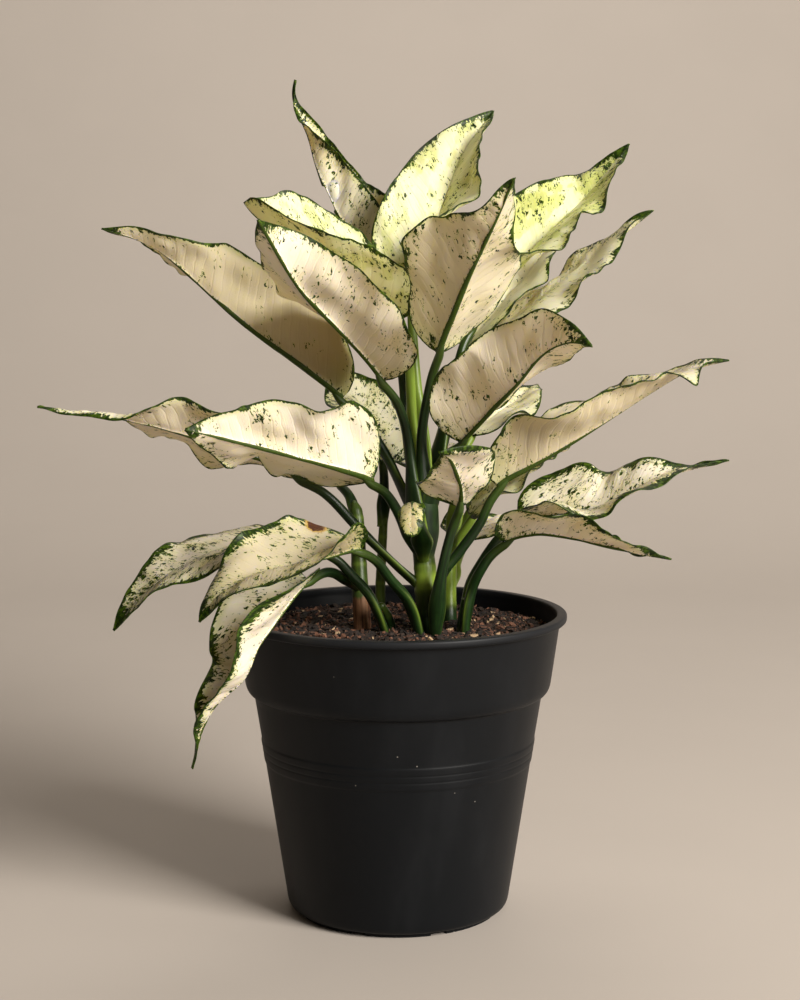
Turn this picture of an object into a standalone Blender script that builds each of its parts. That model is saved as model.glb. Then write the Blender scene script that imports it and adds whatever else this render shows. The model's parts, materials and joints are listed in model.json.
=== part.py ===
"""Potted aglaonema: a nursery pot filled with soil, a clump of canes, and a waved blade on each leaf stalk.

Lengths in the tables are millimetres, measured from the middle of the pot's underside, with +Z up and the
viewer of the reference picture on the -Y side. MM turns them into Blender's metres.
"""
from math import cos, pi, sin
from typing import NamedTuple

import bmesh
import bpy
import numpy as np

MM = 0.001
OBJECT_NAME = "potted_aglaonema"
GAP = 0.3                      # between parts that rest against each other
SEAT_GAP = 0.8                 # between a stalk's end and its blade
WELD = 0.0001                  # metres

# Pot
POT_HEIGHT = 170.0
RIM_RADIUS = 95.0              # outside of the lip
LIP_HEIGHT = 4.2
LIP_ROUND = 1.4                # how far in the rounding of the lip's edges reaches
LIP_DROP = 1.2                 # and how far down
COLLAR_TOP_RADIUS = 91.2
COLLAR_BOTTOM_RADIUS = 86.0
COLLAR_BOTTOM_Z = 126.0
SHOULDER = 3.0                 # height of the rounded step under the collar
SHOULDER_ROUND = 1.8           # how far in it reaches
BODY_TOP_RADIUS = 81.4
BASE_RADIUS = 62.6
FOOT_RADIUS = 58.0
FOOT_HEIGHT = 3.0
FOOT_ROUND = 1.4               # how far in the rounding of the base's edge reaches
WALL = 1.8
FLOOR_Z = 3.0                  # inside of the pot's floor
RING_TOP_Z = 98.0              # a band that stands proud of the body
RING_BOTTOM_Z = 86.5
RING_HEIGHT = 0.6
NOTCH_COUNT = 8
NOTCH_SIZE = (6.0, 9.0, 3.6)   # along the radius, round the foot, and up and down from the underside
DRAIN_COUNT = 6
DRAIN_RADIUS = 4.0
DRAIN_CIRCLE = 38.0
DRAIN_SIDES = 10
POT_SIDES = 40
LIP_BOTTOM_Z = POT_HEIGHT - LIP_HEIGHT
INNER_LIP_RADIUS = COLLAR_TOP_RADIUS - WALL
INNER_SHOULDER_Z = COLLAR_BOTTOM_Z + 2.0
INNER_SHOULDER_RADIUS = COLLAR_BOTTOM_RADIUS - WALL - 0.4

# Soil
SOIL_EDGE_Z = 159.0
SOIL_DOME = 3.5
SOIL_RINGS = (0.35, 0.7)       # shares of the soil's radius where its dome is worked out
FOOT_BOTTOM_Z = 142.0          # where the stems end in the soil
HOLE_CLEARANCE = 0.4           # round a stem's foot
HOLE_SIDES = 16

# Blades
BLADE_THICKNESS = 0.8
RIB_THICKNESS = 2.8            # over the midrib, at the stalk
RIB_START = 0.25               # the share of the rib's extra thickness at the blade's very end
BLADE_STATIONS = 11
BLADE_COLUMNS = (-1.0, -0.55, -0.1, 0.0, 0.1, 0.55, 1.0)
BLADE_START = 0.004            # the share of the blade's length where its outline starts
TIP_WIDTH = 1.2
RIGHT_WAVE_PHASE = 0.37        # how far the right margin's waves run ahead of the left's, in waves

# Stalks
STALK_RADIUS_LOW = 3.8
STALK_RADIUS_HIGH = 2.4
STALK_POINTS = 8
CANE_POINTS = 7


class Stem(NamedTuple):
    """A cane: its radius in the soil and at its top, and its route from the soil up."""
    name: str
    foot_radius: float
    top_radius: float
    route: tuple


class Leaf(NamedTuple):
    """A blade on its stalk.

    stalk and midrib are points that one smooth curve passes through, the stalk's first point lying inside its
    stem. left and right give how far each half rises from level, in degrees, at the stalk, the middle and the
    tip, as seen looking along the leaf. curl bends each half further across its width, wave is the height in
    millimetres, the count and the phase of the margin's waves, and point is above 1 for a drawn-out tip. lobes
    widen or narrow one half over a stretch, and folds bend it further there: each holds the half, 1 for the
    left and -1 for the right, the share of the length, its spread, and the added share of width or degrees.
    """
    name: str
    stem: str
    width: float
    left: tuple
    right: tuple
    wave: tuple
    stalk: tuple
    midrib: tuple
    curl: float = -10.0
    point: float = 1.0
    lobes: tuple = ()
    folds: tuple = ()


STEMS = (
    Stem("stem_main", 7.5, 5.5, ((18, -18, 165), (16, -14, 180), (15, -8, 196), (13, -3, 216), (13, 2, 238))),
    Stem("stem_left", 5.0, 3.6,
         ((-20, -10, 165), (-21, -8, 182), (-22, -4, 200), (-23, 2, 221), (-25, 6, 232))),
    Stem("stem_right", 4.6, 3.4, ((36, -15, 165), (37, -14, 172), (38, -14, 180))),
    Stem("stem_young", 3.4, 2.6, ((-4, -15, 165), (-6, -18, 171), (-10, -24, 178))),
    Stem("stem_back", 4.6, 3.6, ((29, 13, 165), (29, 16, 178), (30, 22, 196), (31, 26, 210))),
    Stem("stem_thin", 3.0, 2.4, ((-10, 9, 165), (-10, 10, 185), (-9, 12, 205), (-8, 16, 224))),
)

LEAVES = (
    Leaf("leaf_top_left", "stem_main", 60, (95, 92, 15), (70, 68, 45), (2, 2, 0.3),
         ((14, -2, 204), (12, 8, 238), (6, 18, 271), (0, 27, 322)),
         ((-8, 42, 356), (-27, 58, 382), (-40, 68, 403), (-48, 76, 424), (-53, 82, 441), (-62, 86, 463),
          (-61, 88, 474)), point=1.6),
    Leaf("leaf_top_middle", "stem_main", 68, (45, 60, 45), (65, 15, 20), (3, 2, 0.3),
         ((13, 2, 226), (12, 11, 277), (9, 16, 316)),
         ((8, 24, 346), (16, 36, 373), (26, 50, 399), (36, 62, 426), (56, 78, 455))),
    Leaf("leaf_top_right", "stem_main", 68, (45, 70, 20), (45, 5, -5), (4, 3, 0.3),
         ((14, 2, 224), (27, 16, 277), (34, 22, 308)),
         ((42, 30, 330), (62, 48, 355), (86, 66, 381), (109, 80, 403), (138, 92, 437))),
    Leaf("leaf_rolled_left", "stem_main", 62, (60, 28, 35), (45, 55, 50), (2, 2, 0.3),
         ((13, 0, 226), (8, 2, 278), (6, -2, 311)),
         ((2, -6, 334), (-15, -16, 350), (-39, -28, 366), (-60, -38, 380), (-75, -42, 390), (-79, -40, 399)),
         curl=30.0, point=0.6),
    Leaf("leaf_front_upper_left", "stem_main", 76, (5, 20, 80), (45, 25, 10), (3, 2.5, 0.1),
         ((15, -10, 196), (9, -12, 232), (6, -12, 265), (1, -16, 285)),
         ((-8, -22, 301), (-20, -37, 317), (-35, -55, 333), (-50, -74, 350), (-69, -106, 384)),
         lobes=((1, 0.62, 0.08, 0.15),)),
    Leaf("leaf_front_upper_right", "stem_main", 68, (20, 15, 40), (55, 45, 0), (3, 2.5, 0.3),
         ((16, -9, 196), (16, -10, 232), (13, -10, 267), (16, -14, 290)),
         ((22, -22, 316), (30, -38, 338), (38, -55, 359), (47, -74, 379), (58, -98, 405)),
         lobes=((-1, 0.55, 0.12, 0.22), (-1, 0.80, 0.12, -0.22), (1, 0.63, 0.09, -0.28), (1, 0.40, 0.12, 0.2))),
    Leaf("leaf_long_left", "stem_main", 68, (78, 75, 20), (20, 25, -10), (3, 3, 0.3),
         ((13, -2, 216), (1, -1, 244), (-13, 1, 268)),
         ((-31, 1, 290), (-52, -3, 307), (-72, -9, 322), (-89, -18, 336), (-110, -29, 356), (-130, -38, 373),
          (-156, -46, 382))),
    Leaf("leaf_front_right", "stem_main", 70, (35, 20, -30), (30, 50, 80), (3, 2.5, 0.3),
         ((14, -4, 215), (21, -14, 246), (27, -22, 260)),
         ((34, -30, 268), (49, -52, 286), (61, -72, 301), (74, -92, 318), (86, -106, 324), (96, -114, 322)),
         lobes=((1, 0.30, 0.07, 0.2), (1, 0.14, 0.06, -0.15))),
    Leaf("leaf_long_right", "stem_main", 66, (50, 25, 20), (75, 30, 10), (3, 3, 0.3),
         ((17, -17, 172), (23, -26, 192), (34, -28, 208), (45, -30, 224)),
         ((54, -32, 244), (71, -36, 255), (92, -40, 268), (113, -43, 282), (134, -46, 296), (155, -48, 308),
          (175, -50, 313)),
         lobes=((1, 0.42, 0.10, 0.25), (-1, 0.84, 0.06, 0.8)), folds=((-1, 0.84, 0.06, -60),)),
    Leaf("leaf_low_right_upper", "stem_right", 64, (55, 40, 5), (20, -5, 15), (3, 3, 0.3),
         ((37, -14, 172), (38, -8, 182), (46, -2, 196), (56, -2, 211)),
         ((68, -4, 223), (87, -10, 227), (113, -18, 232), (140, -24, 247), (180, -28, 258)), point=1.3),
    Leaf("leaf_low_right_lower", "stem_right", 50, (0, 0, 5), (30, 40, 50), (3, 3, 0.3),
         ((37, -14, 172), (40, -18, 182), (46, -22, 197)),
         ((58, -26, 213), (74, -36, 219), (93, -46, 218), (114, -56, 214), (144, -66, 209)), point=1.3),
    Leaf("leaf_front_left", "stem_main", 74, (85, 55, 90), (-20, -10, -50), (3, 3, 0.3),
         ((14, -6, 200), (4, -22, 221), (-5, -32, 238)),
         ((-14, -42, 248), (-31, -58, 256), (-51, -72, 263), (-70, -84, 269), (-107, -102, 280))),
    Leaf("leaf_far_left", "stem_main", 64, (55, 45, -40), (-10, -20, 35), (3, 3.5, 0.3),
         ((14, -11, 184), (-1, -10, 199), (-22, -14, 219), (-38, -15, 236)),
         ((-53, -16, 247), (-72, -20, 257), (-97, -26, 265), (-117, -32, 273), (-141, -38, 280),
          (-192, -46, 288)), point=1.5),
    Leaf("leaf_low_left_back", "stem_young", 60, (-10, -10, -10), (0, 15, 60), (3, 2.5, 0.3),
         ((-6, -18, 171), (-14, -27, 181), (-25, -33, 195), (-34, -36, 205)),
         ((-43, -38, 211), (-66, -42, 215), (-92, -47, 213), (-118, -51, 202), (-139, -54, 185),
          (-152, -56, 169))),
    Leaf("leaf_low_left_front", "stem_main", 62, (50, 5, -5), (35, 35, 15), (2, 2.5, 0.3),
         ((14, -20, 172), (6, -30, 180), (-4, -40, 194), (-12, -50, 206)),
         ((-20, -58, 213), (-39, -72, 211), (-58, -84, 208), (-78, -94, 203), (-93, -100, 194),
          (-101, -103, 182))),
    Leaf("leaf_hanging", "stem_left", 62, (20, 45, 40), (60, 65, 60), (2, 2.5, 0.3),
         ((-21, -7, 184), (-29, -24, 192), (-38, -40, 198)),
         ((-48, -52, 196), (-63, -74, 179), (-73, -84, 166), (-80, -90, 151), (-97, -89, 133),
          (-108, -80, 100)), point=1.8),
    Leaf("leaf_young_centre", "stem_main", 48, (30, 25, 15), (0, -5, 15), (2, 2, 0.3),
         ((19, -21, 172), (22, -34, 184), (25, -38, 204), (29, -42, 221)),
         ((33, -48, 235), (33, -62, 246), (30, -78, 256), (26, -92, 265), (21, -104, 269)),
         lobes=((-1, 0.85, 0.30, -0.6), (1, 0.10, 0.25, -0.5), (1, 0.80, 0.20, 0.4))),
    Leaf("leaf_curled_tip", "stem_main", 15, (5, 5, 5), (5, 5, 5), (0, 2, 0.3),
         ((14, -11, 201), (13, -25, 214), (10, -44, 230)),
         ((8, -57, 238), (7.5, -63, 238), (7, -68, 231), (7, -69, 221)), point=0.5),
    Leaf("leaf_right_behind", "stem_main", 54, (0, 0, 30), (-10, -10, 25), (3, 3, 0.3),
         ((14, 3, 222), (29, 16, 277), (38, 20, 302)),
         ((50, 26, 319), (67, 32, 334), (87, 38, 350), (108, 44, 366), (148, 56, 396))),
    Leaf("leaf_back_right_tall", "stem_main", 60, (20, 20, 20), (20, 20, 20), (3, 2.5, 0.3),
         ((14, 3, 222), (27, 24, 276), (33, 32, 301)),
         ((40, 40, 318), (57, 60, 338), (76, 80, 359), (92, 96, 377), (106, 106, 391))),
    Leaf("leaf_back_middle", "stem_main", 54, (10, 10, 10), (10, 10, 10), (3, 2.5, 0.3),
         ((14, 2, 208), (16, 18, 228), (18, 26, 236)),
         ((18, 35, 244), (16, 60, 252), (14, 90, 252), (10, 138, 238))),
    Leaf("leaf_back_left_inner", "stem_thin", 56, (10, 10, 10), (10, 10, 10), (3, 2.5, 0.3),
         ((-9, 14, 216), (-8, 20, 236)),
         ((-8, 27, 251), (-14, 40, 268), (-24, 54, 286), (-44, 74, 310))),
    Leaf("leaf_back_left_outer", "stem_left", 60, (10, 10, 10), (10, 10, 10), (3, 3, 0.3),
         ((-23, 2, 221), (-27, 10, 233)),
         ((-33, 20, 241), (-51, 40, 251), (-73, 60, 257), (-118, 98, 262))),
    Leaf("leaf_back_right_upper", "stem_back", 50, (10, 10, 10), (10, 10, 10), (3, 2.5, 0.3),
         ((30, 24, 202), (34, 34, 229), (37, 38, 252)),
         ((42, 42, 266), (54, 56, 275), (67, 72, 283), (85, 100, 293))),
    Leaf("leaf_back_right_middle", "stem_back", 50, (10, 10, 10), (10, 10, 10), (3, 2.5, 0.3),
         ((30, 22, 198), (38, 36, 213), (46, 44, 228)),
         ((55, 52, 239), (68, 68, 245), (84, 84, 251), (106, 106, 257))),
    Leaf("leaf_back_right_inner", "stem_back", 42, (10, 10, 10), (10, 10, 10), (3, 2.5, 0.3),
         ((30, 20, 194), (34, 20, 205), (37, 17, 213)),
         ((41, 14, 222), (51, 15, 232), (63, 19, 240), (85, 32, 253))),
    Leaf("leaf_back_right_low", "stem_back", 46, (10, 10, 10), (10, 10, 10), (3, 2, 0.3),
         ((30, 18, 180), (35, 44, 193)),
         ((40, 54, 203), (48, 70, 208), (63, 104, 211))),
)


def smooth_route(points, samples_each=60):
    """A curve through the points, as dense points, their arc lengths, and each given point's arc length.

    Between two neighbours the curve is a cubic whose end directions are the weighted means of the runs that
    meet there, and each run takes a time equal to the square root of its length.
    """
    knots = np.asarray(points, float)
    runs = np.sqrt(np.linalg.norm(np.diff(knots, axis=0), axis=1))
    times = np.concatenate(([0.0], np.cumsum(runs)))
    speeds = np.diff(knots, axis=0) / runs[:, None]
    slopes = np.empty_like(knots)
    share = (runs[:-1] / (runs[:-1] + runs[1:]))[:, None]
    slopes[1:-1] = speeds[:-1] * (1 - share) + speeds[1:] * share
    slopes[0] = 1.5 * speeds[0] - 0.5 * slopes[1]
    slopes[-1] = 1.5 * speeds[-1] - 0.5 * slopes[-2]
    time = np.linspace(0.0, times[-1], samples_each * (len(knots) - 1) + 1)
    run = np.clip(np.searchsorted(times, time, side="right") - 1, 0, len(runs) - 1)
    length = runs[run][:, None]
    u = ((time - times[run]) / runs[run])[:, None]
    curve = ((2 * u**3 - 3 * u**2 + 1) * knots[run] + (u**3 - 2 * u**2 + u) * length * slopes[run]
             + (-2 * u**3 + 3 * u**2) * knots[run + 1] + (u**3 - u**2) * length * slopes[run + 1])
    arc = np.concatenate(([0.0], np.cumsum(np.linalg.norm(np.diff(curve, axis=0), axis=1))))
    return curve, arc, np.interp(times, time, arc)


def along(curve, arc, lengths):
    """Points of a dense curve at the given arc lengths."""
    return np.stack([np.interp(lengths, arc, curve[:, axis]) for axis in range(3)], axis=-1)


def blend_three(values, share):
    """Eases from the first value to the second at half way, and from there to the third."""
    low, middle, high = values
    ease_low = np.clip(2 * share, 0, 1)
    ease_high = np.clip(2 * share - 1, 0, 1)
    ease_low = ease_low**2 * (3 - 2 * ease_low)
    ease_high = ease_high**2 * (3 - 2 * ease_high)
    return low + (middle - low) * ease_low + (high - middle) * ease_high


def blade_half_width(leaf, share, side):
    """The square root of the share of length times a power of what is left, scaled to half the width.

    Each lobe of that half multiplies it by one plus its amount times a bell curve of the share.
    """
    peak = 0.5 / (0.5 + leaf.point)
    tallest = np.sqrt(peak) * (1 - peak)**leaf.point
    half = leaf.width / 2 * np.sqrt(share) * (1 - share)**leaf.point / tallest
    for lobe_side, middle, spread, amount in leaf.lobes:
        if lobe_side == side:
            half = half * (1 + amount * np.exp(-((share - middle) / spread)**2))
    return np.maximum(half, TIP_WIDTH / 2)


def blade_fold(leaf, share, side):
    """The extra bend across that half in radians, as a sum of bell curves of the share."""
    bend = np.zeros_like(share)
    for fold_side, middle, spread, amount in leaf.folds:
        if fold_side == side:
            bend += np.radians(amount) * np.exp(-((share - middle) / spread)**2)
    return bend


def leaf_route(leaf):
    """The curve of stalk and midrib, with the arc lengths where the blade starts and ends."""
    curve, arc, stops = smooth_route(leaf.stalk + leaf.midrib)
    return curve, arc, stops[len(leaf.stalk)]


def blade_surface(leaf, stations, columns):
    """The blade's upper side as an array of points, stations along it by columns across it, in millimetres.

    Each half is an arc that leaves the midrib at its rise and bends further at its folds, and the margin is
    lifted by a sine along the leaf that grows with the square of the distance from the midrib.
    """
    curve, arc, start = leaf_route(leaf)
    share = np.linspace(BLADE_START, 1.0, stations)
    spine = along(curve, arc, start + (arc[-1] - start) * np.linspace(0.0, 1.0, stations))
    ahead = np.gradient(spine, axis=0)
    ahead /= np.linalg.norm(ahead, axis=1)[:, None]
    heading = spine[-1] - spine[0]
    level = np.array([-heading[1], heading[0], 0.0]) / np.hypot(heading[0], heading[1])
    across = level - (ahead @ level)[:, None] * ahead
    across /= np.linalg.norm(across, axis=1)[:, None]
    up = np.cross(ahead, across)

    height, count, phase = leaf.wave
    envelope = np.sin(pi * share)**0.6
    surface = np.empty((stations, len(columns), 3))
    for column, place in enumerate(columns):
        side = 1 if place >= 0 else -1
        reach = abs(place)
        half = blade_half_width(leaf, share, side)
        rise = np.radians(blend_three(leaf.left if side > 0 else leaf.right, share))
        curl = np.radians(leaf.curl) * half / (leaf.width / 2) + 1e-6
        first = rise - curl / 2
        curl += blade_fold(leaf, share, side)
        last = first + curl * reach
        out = (np.sin(last) - np.sin(first)) / curl * half
        lift = (np.cos(first) - np.cos(last)) / curl * half
        wave_phase = phase + (0.0 if side > 0 else RIGHT_WAVE_PHASE)
        ripple = height * reach**2 * envelope * np.sin(2 * pi * (count * share + wave_phase))
        out = side * (out - ripple * np.sin(last))
        lift = lift + ripple * np.cos(last)
        surface[:, column] = spine + out[:, None] * across + lift[:, None] * up
    return surface


def new_material(name, colour, roughness):
    """A Principled material with a base colour and roughness."""
    material = bpy.data.materials.new(name)
    material.use_nodes = True
    shader = material.node_tree.nodes["Principled BSDF"]
    shader.inputs["Base Color"].default_value = (*colour, 1.0)
    shader.inputs["Roughness"].default_value = roughness
    shader.inputs["Metallic"].default_value = 0.0
    return material


def new_collection(name):
    """An empty collection in the scene."""
    collection = bpy.data.collections.new(name)
    bpy.context.scene.collection.children.link(collection)
    return collection


def mesh_object(name, collection, vertices, faces):
    """An object from points in millimetres and faces that index them."""
    mesh = bpy.data.meshes.new(name)
    mesh.from_pydata([tuple(point * MM) for point in vertices], [], faces)
    mesh.update()
    made = bpy.data.objects.new(name, mesh)
    collection.objects.link(made)
    return made


def turned_object(name, collection, profile):
    """A closed body turned round Z from a profile of (radius, z), top to bottom along its outside."""
    points = np.array([(radius, 0.0, z) for radius, z in profile])
    edges = [(index, index + 1) for index in range(len(points) - 1)]
    mesh = bpy.data.meshes.new(name)
    mesh.from_pydata([tuple(point * MM) for point in points], edges, [])
    made = bpy.data.objects.new(name, mesh)
    collection.objects.link(made)
    screw = made.modifiers.new("turn", "SCREW")
    screw.axis = "Z"
    screw.steps = POT_SIDES
    screw.render_steps = POT_SIDES
    screw.use_merge_vertices = True
    screw.merge_threshold = WELD
    screw.use_smooth_shade = True
    return made


def hide_cutter(cutter):
    """Shows a cutter as wires only."""
    cutter.hide_render = True
    cutter.display_type = "WIRE"


def cylinder_cutter(name, collection, radius, low, high, x, y, sides):
    """A round cutter standing on Z from low to high."""
    bpy.ops.mesh.primitive_cylinder_add(vertices=sides, radius=radius * MM, depth=(high - low) * MM,
                                        location=(x * MM, y * MM, (low + high) / 2 * MM))
    cutter = bpy.context.object
    cutter.name = name
    move_to(cutter, collection)
    hide_cutter(cutter)
    return cutter


def move_to(piece, collection):
    """Leaves the piece in this collection alone."""
    for owner in list(piece.users_collection):
        owner.objects.unlink(piece)
    collection.objects.link(piece)


def cut(piece, cutters):
    """Takes every cutter out of the piece."""
    for cutter in cutters:
        boolean = piece.modifiers.new(cutter.name, "BOOLEAN")
        boolean.operation = "DIFFERENCE"
        boolean.solver = "EXACT"
        boolean.object = cutter


def pot_outside(z):
    """The body's outer radius at a height below the collar."""
    return BASE_RADIUS + (BODY_TOP_RADIUS - BASE_RADIUS) * (z - FOOT_HEIGHT) / (COLLAR_BOTTOM_Z - FOOT_HEIGHT)


def pot_inside(z):
    """The body's inner radius at a height below the collar."""
    return pot_outside(z) - WALL


def collar_inside(z):
    """The collar's inner radius, on a straight line from the shoulder to the lip."""
    share = (z - INNER_SHOULDER_Z) / (LIP_BOTTOM_Z - INNER_SHOULDER_Z)
    return INNER_SHOULDER_RADIUS + (INNER_LIP_RADIUS - INNER_SHOULDER_RADIUS) * share


def pot_profile():
    """The pot's wall as (radius, z): down the outside from the lip, across the underside, up the inside."""
    outside = [
        (INNER_LIP_RADIUS + LIP_ROUND, POT_HEIGHT),
        (RIM_RADIUS - LIP_ROUND, POT_HEIGHT),
        (RIM_RADIUS - 0.2, POT_HEIGHT - LIP_DROP),
        (RIM_RADIUS, LIP_BOTTOM_Z + 1.0),
        (RIM_RADIUS - 1.0, LIP_BOTTOM_Z),
        (COLLAR_TOP_RADIUS, LIP_BOTTOM_Z - 0.6),
        (COLLAR_BOTTOM_RADIUS, COLLAR_BOTTOM_Z + SHOULDER),
        (COLLAR_BOTTOM_RADIUS - SHOULDER_ROUND, COLLAR_BOTTOM_Z),
        (BODY_TOP_RADIUS, COLLAR_BOTTOM_Z - 1.0),
    ]
    for z, step in ((RING_TOP_Z, 0.0), (RING_TOP_Z - RING_HEIGHT, RING_HEIGHT),
                    (RING_BOTTOM_Z, RING_HEIGHT), (RING_BOTTOM_Z - RING_HEIGHT, 0.0)):
        outside.append((pot_outside(z) + step, z))
    outside += [
        (pot_outside(2 * FOOT_HEIGHT), 2 * FOOT_HEIGHT),
        (BASE_RADIUS - FOOT_ROUND, FOOT_HEIGHT),
        (FOOT_RADIUS, FOOT_HEIGHT - 0.4),
        (FOOT_RADIUS, 0.0),
        (0.0, 0.0),
    ]
    inside = [
        (0.0, FLOOR_Z),
        (pot_inside(FLOOR_Z) - FOOT_ROUND, FLOOR_Z),
        (pot_inside(FLOOR_Z + SHOULDER), FLOOR_Z + SHOULDER),
        (pot_inside(COLLAR_BOTTOM_Z - SHOULDER), COLLAR_BOTTOM_Z - SHOULDER),
        (INNER_SHOULDER_RADIUS, INNER_SHOULDER_Z),
        (INNER_LIP_RADIUS, LIP_BOTTOM_Z),
        (INNER_LIP_RADIUS, POT_HEIGHT - LIP_DROP),
    ]
    return outside + inside + [outside[0]]


def make_pot(collection, cutters):
    """The wall is turned in one closed profile, then notched at the foot and drilled for drainage."""
    pot = turned_object("pot", collection, pot_profile())
    tools = []
    for index in range(NOTCH_COUNT):
        angle = 2 * pi * (index + 0.5) / NOTCH_COUNT
        place = (cos(angle) * FOOT_RADIUS * MM, sin(angle) * FOOT_RADIUS * MM, 0.0)
        bpy.ops.mesh.primitive_cube_add(size=1.0, location=place, rotation=(0.0, 0.0, angle))
        notch = bpy.context.object
        notch.name = f"notch_{index + 1}"
        notch.scale = tuple(size * MM for size in NOTCH_SIZE)
        move_to(notch, cutters)
        hide_cutter(notch)
        tools.append(notch)
    for index in range(DRAIN_COUNT):
        angle = 2 * pi * index / DRAIN_COUNT
        tools.append(cylinder_cutter(f"drain_{index + 1}", cutters, DRAIN_RADIUS, -FLOOR_Z, 2 * FLOOR_Z,
                                     cos(angle) * DRAIN_CIRCLE, sin(angle) * DRAIN_CIRCLE, DRAIN_SIDES))
    cut(pot, tools)
    return pot


def make_soil(collection, cutters):
    """Soil fills the pot to a low dome, with a plain hole where each stem stands."""
    edge = collar_inside(SOIL_EDGE_Z) - GAP
    profile = [(0.0, SOIL_EDGE_Z + SOIL_DOME)]
    for share in SOIL_RINGS:
        profile.append((edge * share, SOIL_EDGE_Z + SOIL_DOME * (1 - share**2)))
    profile += [
        (edge, SOIL_EDGE_Z),
        (INNER_SHOULDER_RADIUS - GAP, INNER_SHOULDER_Z),
        (pot_inside(COLLAR_BOTTOM_Z - SHOULDER) - GAP, COLLAR_BOTTOM_Z - SHOULDER),
        (pot_inside(FLOOR_Z + SHOULDER) - GAP, FLOOR_Z + SHOULDER),
        (pot_inside(FLOOR_Z) - FOOT_ROUND - GAP, FLOOR_Z + GAP),
        (0.0, FLOOR_Z + GAP),
    ]
    soil = turned_object("soil", collection, profile)
    holes = []
    for stem in STEMS:
        x, y, _ = stem.route[0]
        holes.append(cylinder_cutter(f"hole_{stem.name}", cutters, stem.foot_radius + HOLE_CLEARANCE,
                                     FOOT_BOTTOM_Z - GAP, POT_HEIGHT, x, y, HOLE_SIDES))
    cut(soil, holes)
    return soil


def tube(name, collection, points, radii):
    """A tube along the points as a poly curve, made into a mesh with its end caps joined on."""
    curve = bpy.data.curves.new(name, "CURVE")
    curve.dimensions = "3D"
    curve.bevel_depth = MM
    curve.bevel_resolution = 2
    curve.use_fill_caps = True
    spline = curve.splines.new("POLY")
    spline.points.add(len(points) - 1)
    for node, point, radius in zip(spline.points, points, radii):
        node.co = (*(point * MM), 1.0)
        node.radius = radius
    drawn = bpy.data.objects.new(name, curve)
    collection.objects.link(drawn)
    graph = bpy.context.evaluated_depsgraph_get()
    mesh = bpy.data.meshes.new_from_object(drawn.evaluated_get(graph))
    made = bpy.data.objects.new(f"{name}_mesh", mesh)
    made.matrix_world = drawn.matrix_world
    collection.objects.link(made)
    bpy.data.objects.remove(drawn)
    made.name = name
    shape = bmesh.new()
    shape.from_mesh(mesh)
    bmesh.ops.remove_doubles(shape, verts=shape.verts, dist=1e-6)
    bmesh.ops.recalc_face_normals(shape, faces=shape.faces)
    shape.to_mesh(mesh)
    shape.free()
    return made


def stalk_points(leaf):
    """The stalk's middle line and radii, ending just short of the blade."""
    curve, arc, start = leaf_route(leaf)
    share = np.linspace(0.0, 1.0, STALK_POINTS)
    points = along(curve, arc, share * (start - SEAT_GAP))
    radii = STALK_RADIUS_LOW + (STALK_RADIUS_HIGH - STALK_RADIUS_LOW) * share**0.7
    return points, radii


def make_stem(stem, collection):
    """A cane with the stalks that grow from it, joined into one body."""
    curve, arc, _ = smooth_route(stem.route)
    share = np.linspace(0.0, 1.0, CANE_POINTS)
    points = along(curve, arc, share * arc[-1])
    foot = points[:1] * np.array([1.0, 1.0, 0.0]) + np.array([0.0, 0.0, FOOT_BOTTOM_Z])
    radii = stem.foot_radius + (stem.top_radius - stem.foot_radius) * share
    body = tube(stem.name, collection, np.vstack([foot, points]), np.concatenate(([stem.foot_radius], radii)))
    joined = new_collection(f"{stem.name}_stalks")
    for leaf in LEAVES:
        if leaf.stem == stem.name:
            points, radii = stalk_points(leaf)
            tube(f"stalk_{leaf.name}", joined, points, radii)
    union = body.modifiers.new("stalks", "BOOLEAN")
    union.operation = "UNION"
    union.operand_type = "COLLECTION"
    union.solver = "MANIFOLD"
    union.collection = joined
    graph = bpy.context.evaluated_depsgraph_get()
    fused = bpy.data.meshes.new_from_object(body.evaluated_get(graph))
    body.modifiers.clear()
    body.data = fused
    for stalk in list(joined.objects):
        bpy.data.objects.remove(stalk)
    bpy.data.collections.remove(joined)
    return body


def make_leaf(leaf, collection):
    """The blade's upper side as an open sheet of triangles, thickened downwards and most at the midrib."""
    surface = blade_surface(leaf, BLADE_STATIONS, BLADE_COLUMNS)
    count = len(BLADE_COLUMNS)
    faces = []
    for station in range(BLADE_STATIONS - 1):
        for column in range(count - 1):
            near = station * count + column
            far = near + count
            if column < count // 2:
                faces += [(near, far, far + 1), (near, far + 1, near + 1)]
            else:
                faces += [(near, far, near + 1), (near + 1, far, far + 1)]
    made = mesh_object(leaf.name, collection, surface.reshape(-1, 3), faces)
    rib = made.vertex_groups.new(name="midrib")
    for station in range(BLADE_STATIONS):
        weight = (1.0 - station / (BLADE_STATIONS - 1))**1.2 if station else RIB_START
        rib.add([station * count + BLADE_COLUMNS.index(0.0)], weight, "REPLACE")
    solidify = made.modifiers.new("thickness", "SOLIDIFY")
    solidify.thickness = RIB_THICKNESS * MM
    solidify.offset = -1.0
    solidify.vertex_group = rib.name
    solidify.thickness_vertex_group = BLADE_THICKNESS / RIB_THICKNESS
    return made


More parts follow.
